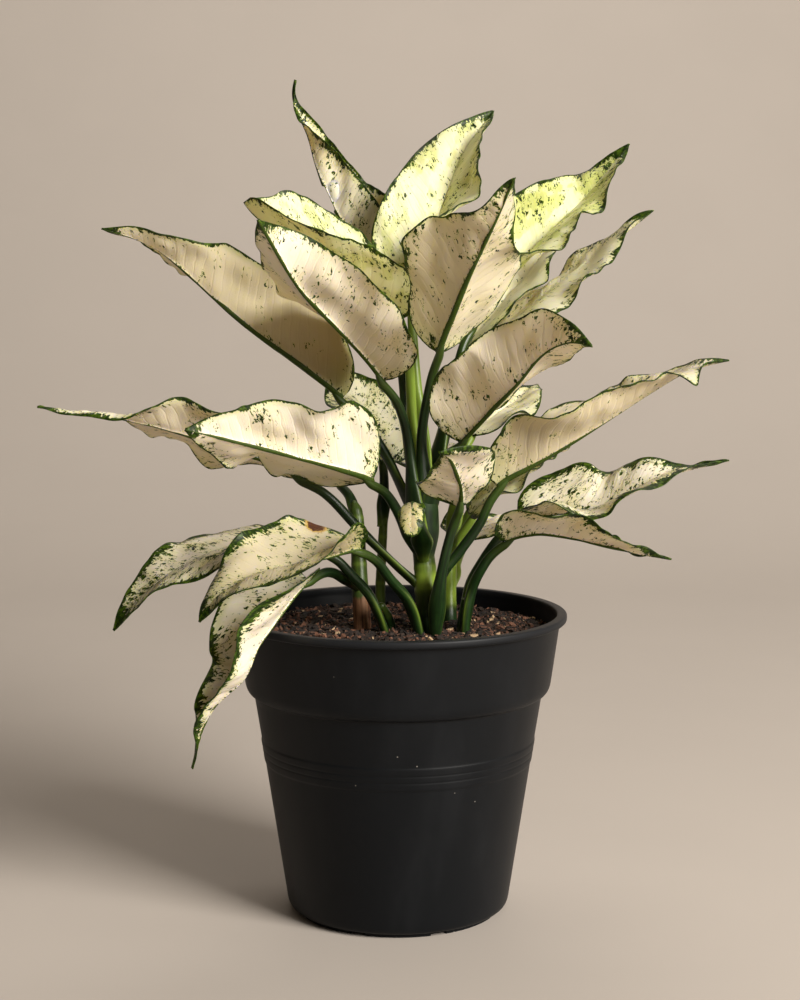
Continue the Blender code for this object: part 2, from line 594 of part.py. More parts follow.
def main():
    """Clears the scene and builds the pot, the soil, the stems and the leaves."""
    for old in list(bpy.data.objects):
        bpy.data.objects.remove(old)
    plant = new_collection(OBJECT_NAME)
    cutters = new_collection("cutters")
    black_plastic = new_material("pot_plastic", (0.014, 0.014, 0.015), 0.5)
    peat = new_material("soil", (0.035, 0.018, 0.011), 0.95)
    stalk_green = new_material("stalk_green", (0.03, 0.075, 0.02), 0.5)
    leaf_cream = new_material("leaf_cream", (0.70, 0.68, 0.45), 0.45)

    make_pot(plant, cutters).data.materials.append(black_plastic)
    make_soil(plant, cutters).data.materials.append(peat)
    for stem in STEMS:
        body = make_stem(stem, plant)
        body.data.materials.clear()
        body.data.materials.append(stalk_green)
    for leaf in LEAVES:
        make_leaf(leaf, plant).data.materials.append(leaf_cream)


if __name__ == "__main__":
    main()
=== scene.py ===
"""Potted aglaonema, dressed: a speckled house plant in a black nursery pot, laid out as an add-on.

Lengths in the tables and formulas are millimetres from the middle of the pot's underside, with +Z up and
the viewer of the reference picture on the -Y side. MM turns them into Blender's metres. The settings, the
lamps and the camera are in metres.
"""
import json
from math import pi, radians
from typing import NamedTuple

import bpy
import numpy as np
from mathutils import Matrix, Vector

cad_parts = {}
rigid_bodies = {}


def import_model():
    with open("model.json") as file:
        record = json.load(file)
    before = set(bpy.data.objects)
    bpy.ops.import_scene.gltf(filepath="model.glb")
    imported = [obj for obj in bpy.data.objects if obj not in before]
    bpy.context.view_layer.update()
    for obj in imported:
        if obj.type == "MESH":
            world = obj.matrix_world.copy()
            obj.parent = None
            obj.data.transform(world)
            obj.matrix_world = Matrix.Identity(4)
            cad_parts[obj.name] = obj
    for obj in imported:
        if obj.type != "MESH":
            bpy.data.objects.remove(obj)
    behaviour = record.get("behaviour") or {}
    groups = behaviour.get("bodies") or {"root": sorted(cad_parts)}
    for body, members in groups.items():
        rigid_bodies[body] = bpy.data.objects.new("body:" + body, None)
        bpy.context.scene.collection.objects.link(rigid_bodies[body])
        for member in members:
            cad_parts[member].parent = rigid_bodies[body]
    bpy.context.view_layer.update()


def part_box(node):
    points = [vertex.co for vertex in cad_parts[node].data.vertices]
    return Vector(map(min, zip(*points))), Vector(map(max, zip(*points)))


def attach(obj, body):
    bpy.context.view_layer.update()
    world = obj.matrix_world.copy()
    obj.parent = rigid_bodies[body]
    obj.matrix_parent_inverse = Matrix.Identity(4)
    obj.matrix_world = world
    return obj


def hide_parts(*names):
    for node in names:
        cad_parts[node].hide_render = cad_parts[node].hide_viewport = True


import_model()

bl_info = {
    "name": "Potted aglaonema",
    "version": (1, 0, 0),
    "blender": (4, 5, 0),
    "location": "3D view, sidebar, Aglaonema",
    "description": "Builds a speckled house plant in a nursery pot, piece by piece",
    "category": "Add Mesh",
}

MM = 0.001
BODY = "root"
LUMP_TABLE = (97, 89)          # how many random values a field of lumps has before it repeats

# Pot
POT_LOW, POT_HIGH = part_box("pot")
LIP_HEIGHT = 4.2
LIP_ROUND = 1.5
COLLAR_TOP_RADIUS = 91.2
COLLAR_BOTTOM_RADIUS = 86.0
COLLAR_BOTTOM_Z = 126.0
SHOULDER = 3.0
SHOULDER_ROUND = 1.8
BODY_TOP_RADIUS = 81.4
BASE_RADIUS = 62.6
FOOT_RADIUS = 58.0
FOOT_HEIGHT = 3.0
BASE_ROUND = 5.0
COLLAR_INSIDE_Z = 128.0        # where the collar's inside starts to widen
COLLAR_INSIDE_HEIGHT = 37.8    # from there to the lip
WALL = 1.8
FLOOR_Z = 3.0
BAND_TOP_Z = 98.0
BAND_BOTTOM_Z = 86.5
BAND_HEIGHT = 0.45
GROOVE_HEIGHTS = (94.2, 90.4)
GROOVE_DEPTH = 0.25
NOTCH_COUNT = 8
NOTCH_SIZE = (6.0, 9.0, 1.8)   # along the radius, round the foot, and up
DRAIN_COUNT = 6
DRAIN_RADIUS = 4.0
DRAIN_CIRCLE = 38.0
POT_SEGMENTS = 192
POT_ROW_RUN = 6.0              # the longest step between two rows of points

# Soil
SOIL_EDGE_Z = 159.0
SOIL_DOME = 3.5
SOIL_GAP = 0.3
SOIL_REACH = 88.0              # the radius at which the dome has come down to the edge's height
SOIL_LUMPS = ((1.6, 0.9), (2.9, 1.5), (6.0, 1.7), (17.0, 2.2))   # each the crumbs' size and height
SOIL_LUMPS_MEAN = 3.4          # taken off, so that the crumbs rise and fall about the dome
SOIL_RINGS = 110
SOIL_SEGMENTS = 420
CHIPS_REACH = 87.0
CHIP_CLEARANCE = 1.5           # from a cane's skin to the middle of a chip

# Blades
BLADE_START = 0.004            # the share of the blade's length where its outline starts
TIP_WIDTH = 1.2
RIGHT_WAVE_PHASE = 0.37
STATION_RUN = 1.35             # length of blade between two rows of points
FEWEST_STATIONS = 40
RIB_COLUMNS = (0.0, 0.35, 0.7, 1.0, 1.6)
BLADE_COLUMNS = 17             # on each half, outside the midrib
VEIN_STEPS_APART = 40          # how far apart two leaves lie in the markings' own space
VEIN_BEND = 0.004              # how fast a side vein turns towards the tip
RANDOM_ORIGIN = 400.0          # added to a blade's places before its random heights are read there
GROOVE_OVER_RIB = 0.35         # the groove's depth along the midrib, at the stalk
RIM_RUN = 0.4                  # the margin's last column lies this far inside it

# Stalks
STALK_RADIUS_LOW = 3.8
STALK_RADIUS_HIGH = 2.4
STALK_REACH = 9.0              # how far a stalk runs on under its blade's midrib
STALK_ROWS = 56
STALK_SIDES = 20
FIBRE_STEP = 7.3               # how far apart two tubes lie in the streaks' own space
CANE_ROWS = 64
CANE_SIDES = 28
FOOT_BOTTOM_Z = 142.0
NODE_Z = 189.0                 # the main cane's bright leaf scar
LEAF_SCAR_RUN = 13.0           # from one leaf scar on a cane to the next

# Stage
LAMP_COLOUR = (1.0, 0.95, 0.88)
ROOM_COLOUR = (1.0, 0.85, 0.64, 1.0)
LAMPS = (                      # name, place, the point it shines at, and its size
    ("key", (1.65, -1.58, 1.25), (0.0, 0.0, 0.2), 1.1),
    ("front", (1.18, -1.89, 1.10), (0.0, 0.0, 0.25), 1.0),
    ("wall", (0.0, 1.2, 2.9), (0.0, 2.3, 1.5), 1.6),
)
CAMERA_PLACE = (0.0011, -1.0228, 0.3471)
CAMERA_TILT = 6.373            # degrees below level
CAMERA_LENS = 66.1             # in millimetres, as is the sensor's height
CAMERA_SENSOR = 36.0
SWEEP_START_Y = 1100.0         # where the floor starts to curve up behind the plant
SWEEP_RADIUS = 1300.0
SWEEP_TOP_Z = 3600.0
SWEEP_REACH = 6000.0           # to the front and to both sides


class Stem(NamedTuple):
    """A cane: its radius in the soil and at its top, its route from the soil up, and how lime it is."""
    name: str
    foot_radius: float
    top_radius: float
    route: tuple
    lime: float = 0.1


class Leaf(NamedTuple):
    """A blade on its stalk.

    stalk and midrib are points that one smooth curve passes through, the stalk's first point lying inside
    its stem. left and right give how far each half rises from level, in degrees, at the stalk, the middle
    and the tip, as seen looking along the leaf. wave is the height, the count and the phase of the margin's
    waves. curl bends each half across its width, in degrees, and point is above 1 for a drawn-out tip.
    lobes widen or narrow one half over a stretch, and folds bend it further there: each holds the half, 1
    for the left and -1 for the right, the share of the length, its spread, and the added share of width or
    degrees.

    freckles and youth run from 0 to about 1, margin is the green rim's width, and lime the stalk's
    yellow-green. tan is painted shade: it darkens the blade at the stalk, the middle and the tip, its
    underside most, standing in for shadow and dimmer light on that blade. scar gives a brown spot's share
    along the blade, its distance from the midrib and its size. sheath is the share of the stalk that is
    broadened to clasp its cane, and foot a point in the soil that the dressed stalk rises from, in place
    of its start inside the cane.
    """
    name: str
    stem: str
    width: float
    left: tuple
    right: tuple
    wave: tuple
    stalk: tuple
    midrib: tuple
    curl: float = -10.0
    point: float = 1.0
    lobes: tuple = ()
    folds: tuple = ()
    freckles: float = 0.3
    youth: float = 0.0
    margin: float = 1.0
    lime: float = 0.0
    sheath: float = 0.6
    scar: tuple = ()
    foot: tuple = ()
    tan: tuple = (0.0, 0.0, 0.0)


STEMS = (
    Stem("stem_main", 6.6, 5.5,
         ((18, -18, 165), (16, -14, 180), (15, -8, 196), (13, -3, 216), (13, 2, 238))),
    Stem("stem_left", 5.0, 3.6,
         ((-20, -10, 165), (-21, -8, 182), (-22, -4, 200), (-23, 2, 221), (-25, 6, 232))),
    Stem("stem_right", 3.4, 2.6, ((36, -15, 165), (37, -14, 172), (38, -14, 180))),
    Stem("stem_young", 2.6, 2.0, ((-4, -15, 165), (-6, -18, 171), (-10, -24, 178))),
    Stem("stem_back", 4.6, 3.6, ((29, 13, 165), (29, 16, 178), (30, 22, 196), (31, 26, 210)), lime=1.0),
    Stem("stem_thin", 3.0, 2.4, ((-10, 9, 165), (-10, 10, 185), (-9, 12, 205), (-8, 16, 224)), lime=0.3),
)

# A row's tan is painted shade, which darkens that blade as shadow and dimmer light would.
LEAVES = (
    Leaf("leaf_top_left", "stem_main", 60, (100, 114, 15), (60, 50, 45), (2, 2, 0.3),
         ((14, -2, 204), (12, 8, 238), (6, 18, 271), (0, 27, 322)),
         ((-8, 42, 356), (-27, 58, 382), (-40, 68, 403), (-48, 76, 424), (-53, 82, 441), (-62, 86, 463),
          (-61, 88, 474)),
         point=1.6, lobes=((1, 0.25, 0.30, -0.22),), freckles=0.5, youth=0.2, margin=1.6),
    Leaf("leaf_top_middle", "stem_main", 68, (45, 60, 45), (65, 15, 20), (3, 2, 0.3),
         ((13, 2, 226), (12, 11, 277), (9, 16, 316)),
         ((8, 24, 346), (16, 36, 373), (26, 50, 399), (36, 62, 426), (56, 78, 455)),
         freckles=0.4, youth=0.7, margin=1.1, lime=0.5),
    Leaf("leaf_top_right", "stem_main", 68, (45, 70, 20), (45, 5, -5), (4, 3, 0.3),
         ((14, 2, 224), (27, 16, 277), (34, 22, 308)),
         ((42, 30, 330), (62, 48, 355), (86, 66, 381), (109, 80, 403), (138, 92, 437)),
         freckles=0.55, youth=0.9, margin=1.1),
    Leaf("leaf_rolled_left", "stem_main", 62, (60, 20, 8), (45, 62, 72), (2, 2, 0.3),
         ((13, 0, 226), (8, 2, 278), (6, -2, 311)),
         ((2, -6, 334), (-15, -16, 350), (-39, -28, 366), (-60, -38, 379), (-74, -42, 388),
          (-81, -42, 396)),
         curl=30.0, point=0.45, freckles=0.5, youth=0.7, margin=1.2, lime=0.8),
    Leaf("leaf_front_upper_left", "stem_main", 76, (5, 20, 80), (45, 25, 10), (3, 2.5, 0.1),
         ((15, -10, 196), (9, -12, 232), (6, -12, 265), (1, -16, 285)),
         ((-8, -22, 301), (-20, -37, 317), (-35, -55, 333), (-50, -74, 350), (-69, -106, 384)),
         lobes=((1, 0.62, 0.08, 0.15),), freckles=0.3, margin=0.8),
    Leaf("leaf_front_upper_right", "stem_main", 68, (20, 15, 40), (55, 45, 0), (3, 2.5, 0.3),
         ((16, -9, 196), (16, -10, 232), (13, -10, 267), (16, -14, 290)),
         ((22, -22, 316), (30, -38, 338), (38, -55, 359), (47, -74, 379), (58, -98, 405)),
         lobes=((-1, 0.55, 0.12, 0.22), (-1, 0.80, 0.12, -0.22), (1, 0.63, 0.09, -0.28),
                (1, 0.40, 0.12, 0.2), (-1, 0.45, 0.05, 0.10), (-1, 0.20, 0.10, -0.10),
                (-1, 0.64, 0.07, -0.10)),
         freckles=0.35, youth=0.1, margin=0.9, tan=(0.35, 0.35, 0.35)),
    Leaf("leaf_long_left", "stem_main", 68, (78, 75, 20), (20, 25, -10), (3, 3, 0.3),
         ((13, -2, 216), (1, -1, 244), (-13, 1, 268)),
         ((-31, 1, 290), (-52, -3, 307), (-72, -9, 322), (-89, -18, 336), (-110, -29, 356),
          (-130, -38, 373), (-156, -46, 382)),
         freckles=0.12, youth=0.15, margin=0.9, tan=(1.0, 0.6, 0.0)),
    Leaf("leaf_front_right", "stem_main", 70, (35, 20, -30), (30, 50, 80), (3, 2.5, 0.3),
         ((14, -4, 215), (21, -14, 246), (27, -22, 260)),
         ((34, -30, 268), (49, -52, 286), (61, -72, 301), (74, -92, 318), (86, -106, 324), (96, -114, 322)),
         lobes=((1, 0.30, 0.07, 0.2), (1, 0.14, 0.06, -0.15), (-1, 0.86, 0.08, 0.5)),
         freckles=0.25, margin=0.8, tan=(0.08, 0.08, 0.08)),
    Leaf("leaf_long_right", "stem_main", 66, (50, 25, 20), (75, 30, 10), (3, 3, 0.3),
         ((17, -17, 172), (23, -26, 192), (34, -28, 208), (45, -30, 224)),
         ((54, -32, 244), (71, -36, 255), (92, -40, 268), (113, -43, 282), (134, -46, 296),
          (155, -48, 308), (175, -50, 313)),
         lobes=((1, 0.42, 0.10, 0.25), (-1, 0.85, 0.035, 1.1)), folds=((-1, 0.85, 0.05, -75),),
         freckles=0.2, margin=1.1, foot=(20, -14, 148), tan=(0.65, 0.65, 0.65)),
    Leaf("leaf_low_right_upper", "stem_right", 64, (55, 40, 5), (20, -5, 15), (3, 3, 0.3),
         ((37, -14, 172), (38, -8, 182), (46, -2, 196), (56, -2, 211)),
         ((68, -4, 223), (87, -10, 227), (113, -18, 232), (140, -24, 247), (180, -28, 258)),
         point=1.3, freckles=0.9, margin=2.6, foot=(35, -13, 148)),
    Leaf("leaf_low_right_lower", "stem_right", 50, (0, 0, 5), (30, 40, 50), (3, 3, 0.3),
         ((37, -14, 172), (40, -18, 182), (46, -22, 197)),
         ((58, -26, 213), (74, -36, 219), (93, -46, 218), (114, -56, 214), (144, -66, 209)),
         point=1.3, freckles=0.45, margin=1.8, foot=(36, -18, 148)),
    Leaf("leaf_front_left", "stem_main", 74, (85, 55, 90), (-20, -10, -50), (3, 3, 0.3),
         ((14, -6, 200), (4, -22, 221), (-5, -32, 238)),
         ((-14, -42, 248), (-31, -58, 256), (-51, -72, 263), (-70, -84, 269), (-107, -102, 280)),
         freckles=0.22, margin=1.0),
    Leaf("leaf_far_left", "stem_main", 64, (55, 45, -40), (-10, -20, 35), (3, 3.5, 0.3),
         ((14, -11, 184), (-1, -10, 199), (-22, -14, 219), (-38, -15, 236)),
         ((-53, -16, 247), (-72, -20, 257), (-97, -26, 265), (-117, -32, 273), (-141, -38, 280),
          (-192, -46, 288)),
         point=1.5, freckles=0.3, margin=1.1, tan=(0.25, 0.25, 0.25)),
    Leaf("leaf_low_left_back", "stem_young", 60, (-10, -10, -10), (0, 15, 60), (3, 2.5, 0.3),
         ((-6, -18, 171), (-14, -27, 181), (-25, -33, 195), (-34, -36, 205)),
         ((-43, -38, 211), (-66, -42, 215), (-92, -47, 213), (-118, -51, 202), (-139, -54, 185),
          (-152, -56, 169)),
         freckles=1.1, margin=1.9, foot=(-3, -21, 148), tan=(0.4, 0.4, 0.4)),
    Leaf("leaf_low_left_front", "stem_main", 62, (50, 5, -5), (35, 35, 15), (2, 2.5, 0.3),
         ((14, -20, 172), (6, -30, 180), (-4, -40, 194), (-12, -50, 206)),
         ((-20, -58, 213), (-39, -72, 211), (-58, -84, 208), (-78, -94, 203), (-93, -100, 194),
          (-101, -103, 182)),
         freckles=0.75, margin=1.5, scar=(0.14, -23.0, 5.5), foot=(15, -27, 148), tan=(1.4, 1.4, 1.4)),
    Leaf("leaf_hanging", "stem_left", 62, (20, 45, 40), (60, 65, 60), (2, 2.5, 0.3),
         ((-21, -7, 184), (-29, -24, 192), (-38, -40, 198)),
         ((-48, -52, 196), (-63, -74, 179), (-73, -84, 166), (-80, -90, 151), (-97, -89, 133),
          (-108, -80, 100)),
         point=1.8, freckles=0.6, margin=1.8),
    Leaf("leaf_young_centre", "stem_main", 48, (30, 25, 15), (0, -5, 15), (2, 2, 0.3),
         ((19, -21, 172), (22, -34, 184), (25, -38, 204), (29, -42, 221)),
         ((33, -48, 235), (33, -62, 246), (30, -78, 256), (26, -92, 265), (21, -104, 269)),
         lobes=((-1, 0.85, 0.30, -0.6), (1, 0.10, 0.25, -0.5), (1, 0.80, 0.20, 0.4)),
         freckles=0.5, margin=1.2, foot=(20, -27, 148)),
    Leaf("leaf_curled_tip", "stem_main", 15, (-5, -5, -5), (-5, -5, -5), (0, 2, 0.3),
         ((14, -11, 201), (13, -25, 214), (10, -44, 230)),
         ((8, -57, 238), (7.5, -63, 238), (7, -68, 231), (7, -69, 221)),
         point=0.5, freckles=0.6, margin=1.5, tan=(2.0, 2.0, 2.0)),
    Leaf("leaf_right_behind", "stem_main", 54, (0, 0, 30), (-10, -10, 25), (3, 3, 0.3),
         ((14, 3, 222), (29, 16, 277), (38, 20, 302)),
         ((50, 26, 319), (67, 32, 334), (87, 38, 350), (108, 44, 366), (148, 56, 396)),
         freckles=0.45, youth=0.3, margin=1.3),
    Leaf("leaf_back_right_tall", "stem_main", 60, (20, 20, 20), (20, 20, 20), (3, 2.5, 0.3),
         ((14, 3, 222), (27, 24, 276), (33, 32, 301)),
         ((40, 40, 318), (57, 60, 338), (76, 80, 359), (92, 96, 377), (106, 106, 391)),
         freckles=0.15, youth=0.4, margin=1.0),
    Leaf("leaf_back_middle", "stem_main", 54, (10, 10, 10), (10, 10, 10), (3, 2.5, 0.3),
         ((14, 2, 208), (16, 18, 228), (18, 26, 236)),
         ((18, 35, 244), (16, 60, 252), (14, 90, 252), (10, 138, 238)),
         freckles=0.5, margin=1.6),
    Leaf("leaf_back_left_inner", "stem_thin", 56, (10, 10, 10), (10, 10, 10), (3, 2.5, 0.3),
         ((-9, 14, 216), (-8, 20, 236)),
         ((-8, 27, 251), (-14, 40, 268), (-24, 54, 286), (-44, 74, 310)),
         freckles=0.9, youth=0.3, margin=1.4),
    Leaf("leaf_back_left_outer", "stem_left", 60, (10, 10, 10), (10, 10, 10), (3, 3, 0.3),
         ((-23, 2, 221), (-27, 10, 233)),
         ((-33, 20, 241), (-51, 40, 251), (-73, 60, 257), (-118, 98, 262)),
         freckles=0.5, margin=1.5),
    Leaf("leaf_back_right_upper", "stem_back", 50, (10, 10, 10), (10, 10, 10), (3, 2.5, 0.3),
         ((30, 24, 202), (34, 34, 229), (37, 38, 252)),
         ((42, 42, 266), (54, 56, 275), (67, 72, 283), (85, 100, 293)),
         freckles=0.35, youth=0.4, margin=1.2, lime=0.6),
    Leaf("leaf_back_right_middle", "stem_back", 50, (10, 10, 10), (10, 10, 10), (3, 2.5, 0.3),
         ((30, 22, 198), (38, 36, 213), (46, 44, 228)),
         ((55, 52, 239), (68, 68, 245), (84, 84, 251), (106, 106, 257)),
         freckles=0.35, margin=1.3, lime=0.5),
    Leaf("leaf_back_right_inner", "stem_back", 42, (10, 10, 10), (10, 10, 10), (3, 2.5, 0.3),
         ((30, 20, 194), (34, 20, 205), (37, 17, 213)),
         ((41, 14, 222), (51, 15, 232), (63, 19, 240), (85, 32, 253)),
         freckles=0.75, youth=0.6, margin=1.4, lime=0.6),
    Leaf("leaf_back_right_low", "stem_back", 46, (10, 10, 10), (10, 10, 10), (3, 2, 0.3),
         ((30, 18, 180), (35, 44, 193)),
         ((40, 54, 203), (48, 70, 208), (63, 104, 211)),
         freckles=0.5, margin=1.5, lime=0.5),
)


class Shell(NamedTuple):
    """A surface: its points in millimetres, its faces, and named values that each point carries."""
    points: np.ndarray
    faces: list
    values: dict


# Arrays and curves

def smooth_route(points, samples_each=60):
    """A curve through the points, as dense points, their arc lengths, and each given point's arc length.

    Between two neighbours the curve is a cubic whose end directions are the weighted means of the runs that
    meet there, and each run takes a time equal to the square root of its length.
    """
    knots = np.asarray(points, float)
    runs = np.sqrt(np.linalg.norm(np.diff(knots, axis=0), axis=1))
    times = np.concatenate(([0.0], np.cumsum(runs)))
    speeds = np.diff(knots, axis=0) / runs[:, None]
    slopes = np.empty_like(knots)
    share = (runs[:-1] / (runs[:-1] + runs[1:]))[:, None]
    slopes[1:-1] = speeds[:-1] * (1 - share) + speeds[1:] * share
    slopes[0] = 1.5 * speeds[0] - 0.5 * slopes[1]
    slopes[-1] = 1.5 * speeds[-1] - 0.5 * slopes[-2]
    time = np.linspace(0.0, times[-1], samples_each * (len(knots) - 1) + 1)
    run = np.clip(np.searchsorted(times, time, side="right") - 1, 0, len(runs) - 1)
    length = runs[run][:, None]
    u = ((time - times[run]) / runs[run])[:, None]
    curve = ((2 * u**3 - 3 * u**2 + 1) * knots[run] + (u**3 - 2 * u**2 + u) * length * slopes[run]
             + (-2 * u**3 + 3 * u**2) * knots[run + 1] + (u**3 - u**2) * length * slopes[run + 1])
    arc = np.concatenate(([0.0], np.cumsum(np.linalg.norm(np.diff(curve, axis=0), axis=1))))
    return curve, arc, np.interp(times, time, arc)


def along(curve, arc, lengths):
    """Points of a dense curve at the given arc lengths."""
    return np.stack([np.interp(lengths, arc, curve[:, axis]) for axis in range(3)], axis=-1)


def ease(value, low, high):
    """Rises smoothly from 0 at low to 1 at high, as three times the square less twice the cube."""
    share = np.clip((value - low) / (high - low), 0.0, 1.0)
    return share**2 * (3 - 2 * share)


def blend_three(values, share):
    """Eases from the first value to the second at half way, and from there to the third."""
    low, middle, high = values
    return low + (middle - low) * ease(share, 0.0, 0.5) + (high - middle) * ease(share, 0.5, 1.0)


def lumps(x, y, cell, seed):
    """Smooth random heights from 0 to 1, blended between random values at the corners of square cells."""
    table = np.random.default_rng(seed).random(LUMP_TABLE)
    column = np.floor(x / cell).astype(int)
    row = np.floor(y / cell).astype(int)
    across = ease(x / cell - column, 0.0, 1.0)
    upward = ease(y / cell - row, 0.0, 1.0)
    corner = [table[(column + i) % LUMP_TABLE[0], (row + j) % LUMP_TABLE[1]] for j in (0, 1) for i in (0, 1)]
    low = corner[0] + (corner[1] - corner[0]) * across
    high = corner[2] + (corner[3] - corner[2]) * across
    return low + (high - low) * upward


def together(*parts):
    """One array whose last axis holds the parts, each spread to the same shape."""
    return np.stack(np.broadcast_arrays(*parts), axis=-1)


def ring_place(radius, angle):
    """x and y at a radius and an angle."""
    return radius * np.cos(angle), radius * np.sin(angle)


def spin(first, second, angle):
    """Two coordinates turned by each row's angle, from the first one's axis towards the second's."""
    cos, sin = np.cos(angle)[:, None], np.sin(angle)[:, None]
    return first * cos - second * sin, first * sin + second * cos


def unit(vectors):
    """The vectors along the last axis, each scaled to length 1."""
    return vectors / np.maximum(np.linalg.norm(vectors, axis=-1, keepdims=True), 1e-9)


def path_frame(spine, level):
    """The directions across a path, as near to level as is square to it, and up, square to both."""
    ahead = unit(np.gradient(spine, axis=0))
    across = unit(level - (ahead @ level)[:, None] * ahead)
    return across, np.cross(ahead, across)


def ring_quads(rows, ring):
    """Quads between neighbouring rows of points, each row a closed ring.

    They face outwards where the rows run along a path and a ring turns left as seen against the path.
    """
    row = np.arange(rows - 1)[:, None] * ring
    column = np.arange(ring)[None, :]
    beside = (column + 1) % ring
    quads = np.stack([row + column, row + ring + column, row + ring + beside, row + beside], axis=-1)
    return quads.reshape(-1, 4).tolist()


def closed_rings(rows, ring):
    """The quads between rings, with one flat face over the first ring and one over the last."""
    first_cap = list(range(ring))
    last_cap = [(rows - 1) * ring + index for index in reversed(range(ring))]
    return ring_quads(rows, ring) + [first_cap, last_cap]


def join_shells(shells):
    """One shell from several, their faces renumbered."""
    faces = []
    start = 0
    for shell in shells:
        faces += [[index + start for index in face] for face in shell.faces]
        start += len(shell.points)
    values = {key: np.concatenate([shell.values[key] for shell in shells]) for key in shells[0].values}
    return Shell(np.concatenate([shell.points for shell in shells]), faces, values)


def new_mesh(name, points, faces, material):
    """A smooth mesh from points in millimetres."""
    mesh = bpy.data.meshes.new(name)
    mesh.from_pydata((points.reshape(-1, 3) * MM).tolist(), [], faces)
    mesh.shade_smooth()
    mesh.materials.append(material)
    return mesh


def add_object(name, data):
    """An object that shows the data, in the scene."""
    made = bpy.data.objects.new(name, data)
    bpy.context.scene.collection.objects.link(made)
    return made


def new_piece(name, shell, material, nodes):
    """An object from a shell and its values, which rides on the body and replaces the CAD nodes."""
    mesh = new_mesh(name, shell.points, shell.faces, material)
    for key, value in shell.values.items():
        kind, field = ("FLOAT", "value") if value.ndim == 1 else ("FLOAT_VECTOR", "vector")
        attribute = mesh.attributes.new(key, kind, "POINT")
        attribute.data.foreach_set(field, value.astype(np.float32).ravel())
    piece = add_object(name, mesh)
    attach(piece, BODY)
    if nodes:
        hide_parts(*nodes)
    return piece


# Materials

class Wire:
    """One output of a shader node. Plain arithmetic on wires adds Math nodes to their material."""

    def __init__(self, paint, socket):
        self.paint = paint
        self.socket = socket

    def math(self, operation, first, second):
        return self.paint.node("ShaderNodeMath", {"operation": operation}, {0: first, 1: second})

    def __add__(self, other):
        return self.math("ADD", self, other)

    def __radd__(self, other):
        return self.math("ADD", other, self)

    def __sub__(self, other):
        return self.math("SUBTRACT", self, other)

    def __rsub__(self, other):
        return self.math("SUBTRACT", other, self)

    def __mul__(self, other):
        return self.math("MULTIPLY", self, other)

    def __rmul__(self, other):
        return self.math("MULTIPLY", other, self)

    def __or__(self, other):
        return self.math("MAXIMUM", self, other)


class Paint:
    """A material while it is mixed. node is the one way to add to it."""

    def __init__(self, name, constants):
        self.material = bpy.data.materials.new(name)
        self.material.use_nodes = True
        self.tree = self.material.node_tree
        self.shader = self.tree.nodes["Principled BSDF"]
        self.fill(self.shader, constants)

    def fill(self, node, inputs):
        """Links a wire to its input, and sets an input to any other value."""
        for key, value in inputs.items():
            if isinstance(value, Wire):
                self.tree.links.new(value.socket, node.inputs[key])
            else:
                node.inputs[key].default_value = value

    def finished(self, inputs):
        """The material, once its shader is given what varies."""
        self.fill(self.shader, inputs)
        return self.material

    def node(self, kind, settings, inputs, output=0):
        """A node of that kind, its settings made first and its inputs set or linked, as one output."""
        made = self.tree.nodes.new(kind)
        for key, value in settings.items():
            setattr(made, key, value)
        self.fill(made, inputs)
        return Wire(self, made.outputs[output])

    def value(self, name):
        """A number that the mesh's points carry."""
        return self.node("ShaderNodeAttribute", {"attribute_name": name}, {}, "Fac")

    def vector(self, name):
        """A vector that the mesh's points carry."""
        return self.node("ShaderNodeAttribute", {"attribute_name": name}, {}, "Vector")

    def place(self):
        return self.node("ShaderNodeTexCoord", {}, {}, "Object")

    def part(self, vector, axis):
        return self.node("ShaderNodeSeparateXYZ", {}, {0: vector}, axis)

    def scaled(self, vector, factors):
        return self.node("ShaderNodeVectorMath", {"operation": "MULTIPLY"}, {0: vector, 1: factors})

    def noise(self, vector, factors, detail=1.0, roughness=0.5):
        """Noise whose features are about as large as 1 over the factors."""
        return self.node("ShaderNodeTexNoise", {}, {"Vector": self.scaled(vector, factors), "Scale": 1.0,
                                                    "Detail": detail, "Roughness": roughness})

    def shaken(self, vector, factors, reach):
        """The vector moved at random, by noise whose features are about as large as 1 over the factors."""
        shift = self.node("ShaderNodeTexNoise", {}, {"Vector": self.scaled(vector, factors), "Scale": 1.0,
                                                     "Detail": 2.0}, "Color")
        return self.node("ShaderNodeVectorMath", {"operation": "ADD"},
                         {0: vector, 1: self.scaled(shift, (reach, reach, 0.0))})

    def cells(self, vector, factors, crowd, ragged):
        """Flecks and the rings round them, in each cell whose own random number lies below the crowding."""
        cell = {"Vector": self.scaled(vector, factors), "Scale": 1.0}
        flat = {"voronoi_dimensions": "2D"}
        distance = self.node("ShaderNodeTexVoronoi", flat, cell, "Distance")
        chance = self.node("ShaderNodeTexVoronoi", flat, cell, "Color")
        size = self.part(chance, "Y") * 0.26 + 0.10
        reach = size - distance + ragged
        chosen = self.ramp(crowd - self.part(chance, "X"), 0.0, 0.03)
        return self.ramp(reach, -0.02, 0.04) * chosen, self.ramp(reach, -0.20, 0.02) * chosen

    def ramp(self, value, low, high):
        """Rises smoothly from 0 where the value is low to 1 where it is high."""
        return self.node("ShaderNodeMapRange", {"interpolation_type": "SMOOTHSTEP"},
                         {"Value": value, "From Min": low, "From Max": high})

    def mix(self, share, first, second):
        """The first colour where the share is 0 and the second where it is 1."""
        return self.node("ShaderNodeMix", {"data_type": "RGBA"}, {0: share, 6: first, 7: second}, 2)

    def bump(self, height, strength, distance):
        return self.node("ShaderNodeBump", {}, {"Height": height, "Strength": strength, "Distance": distance})


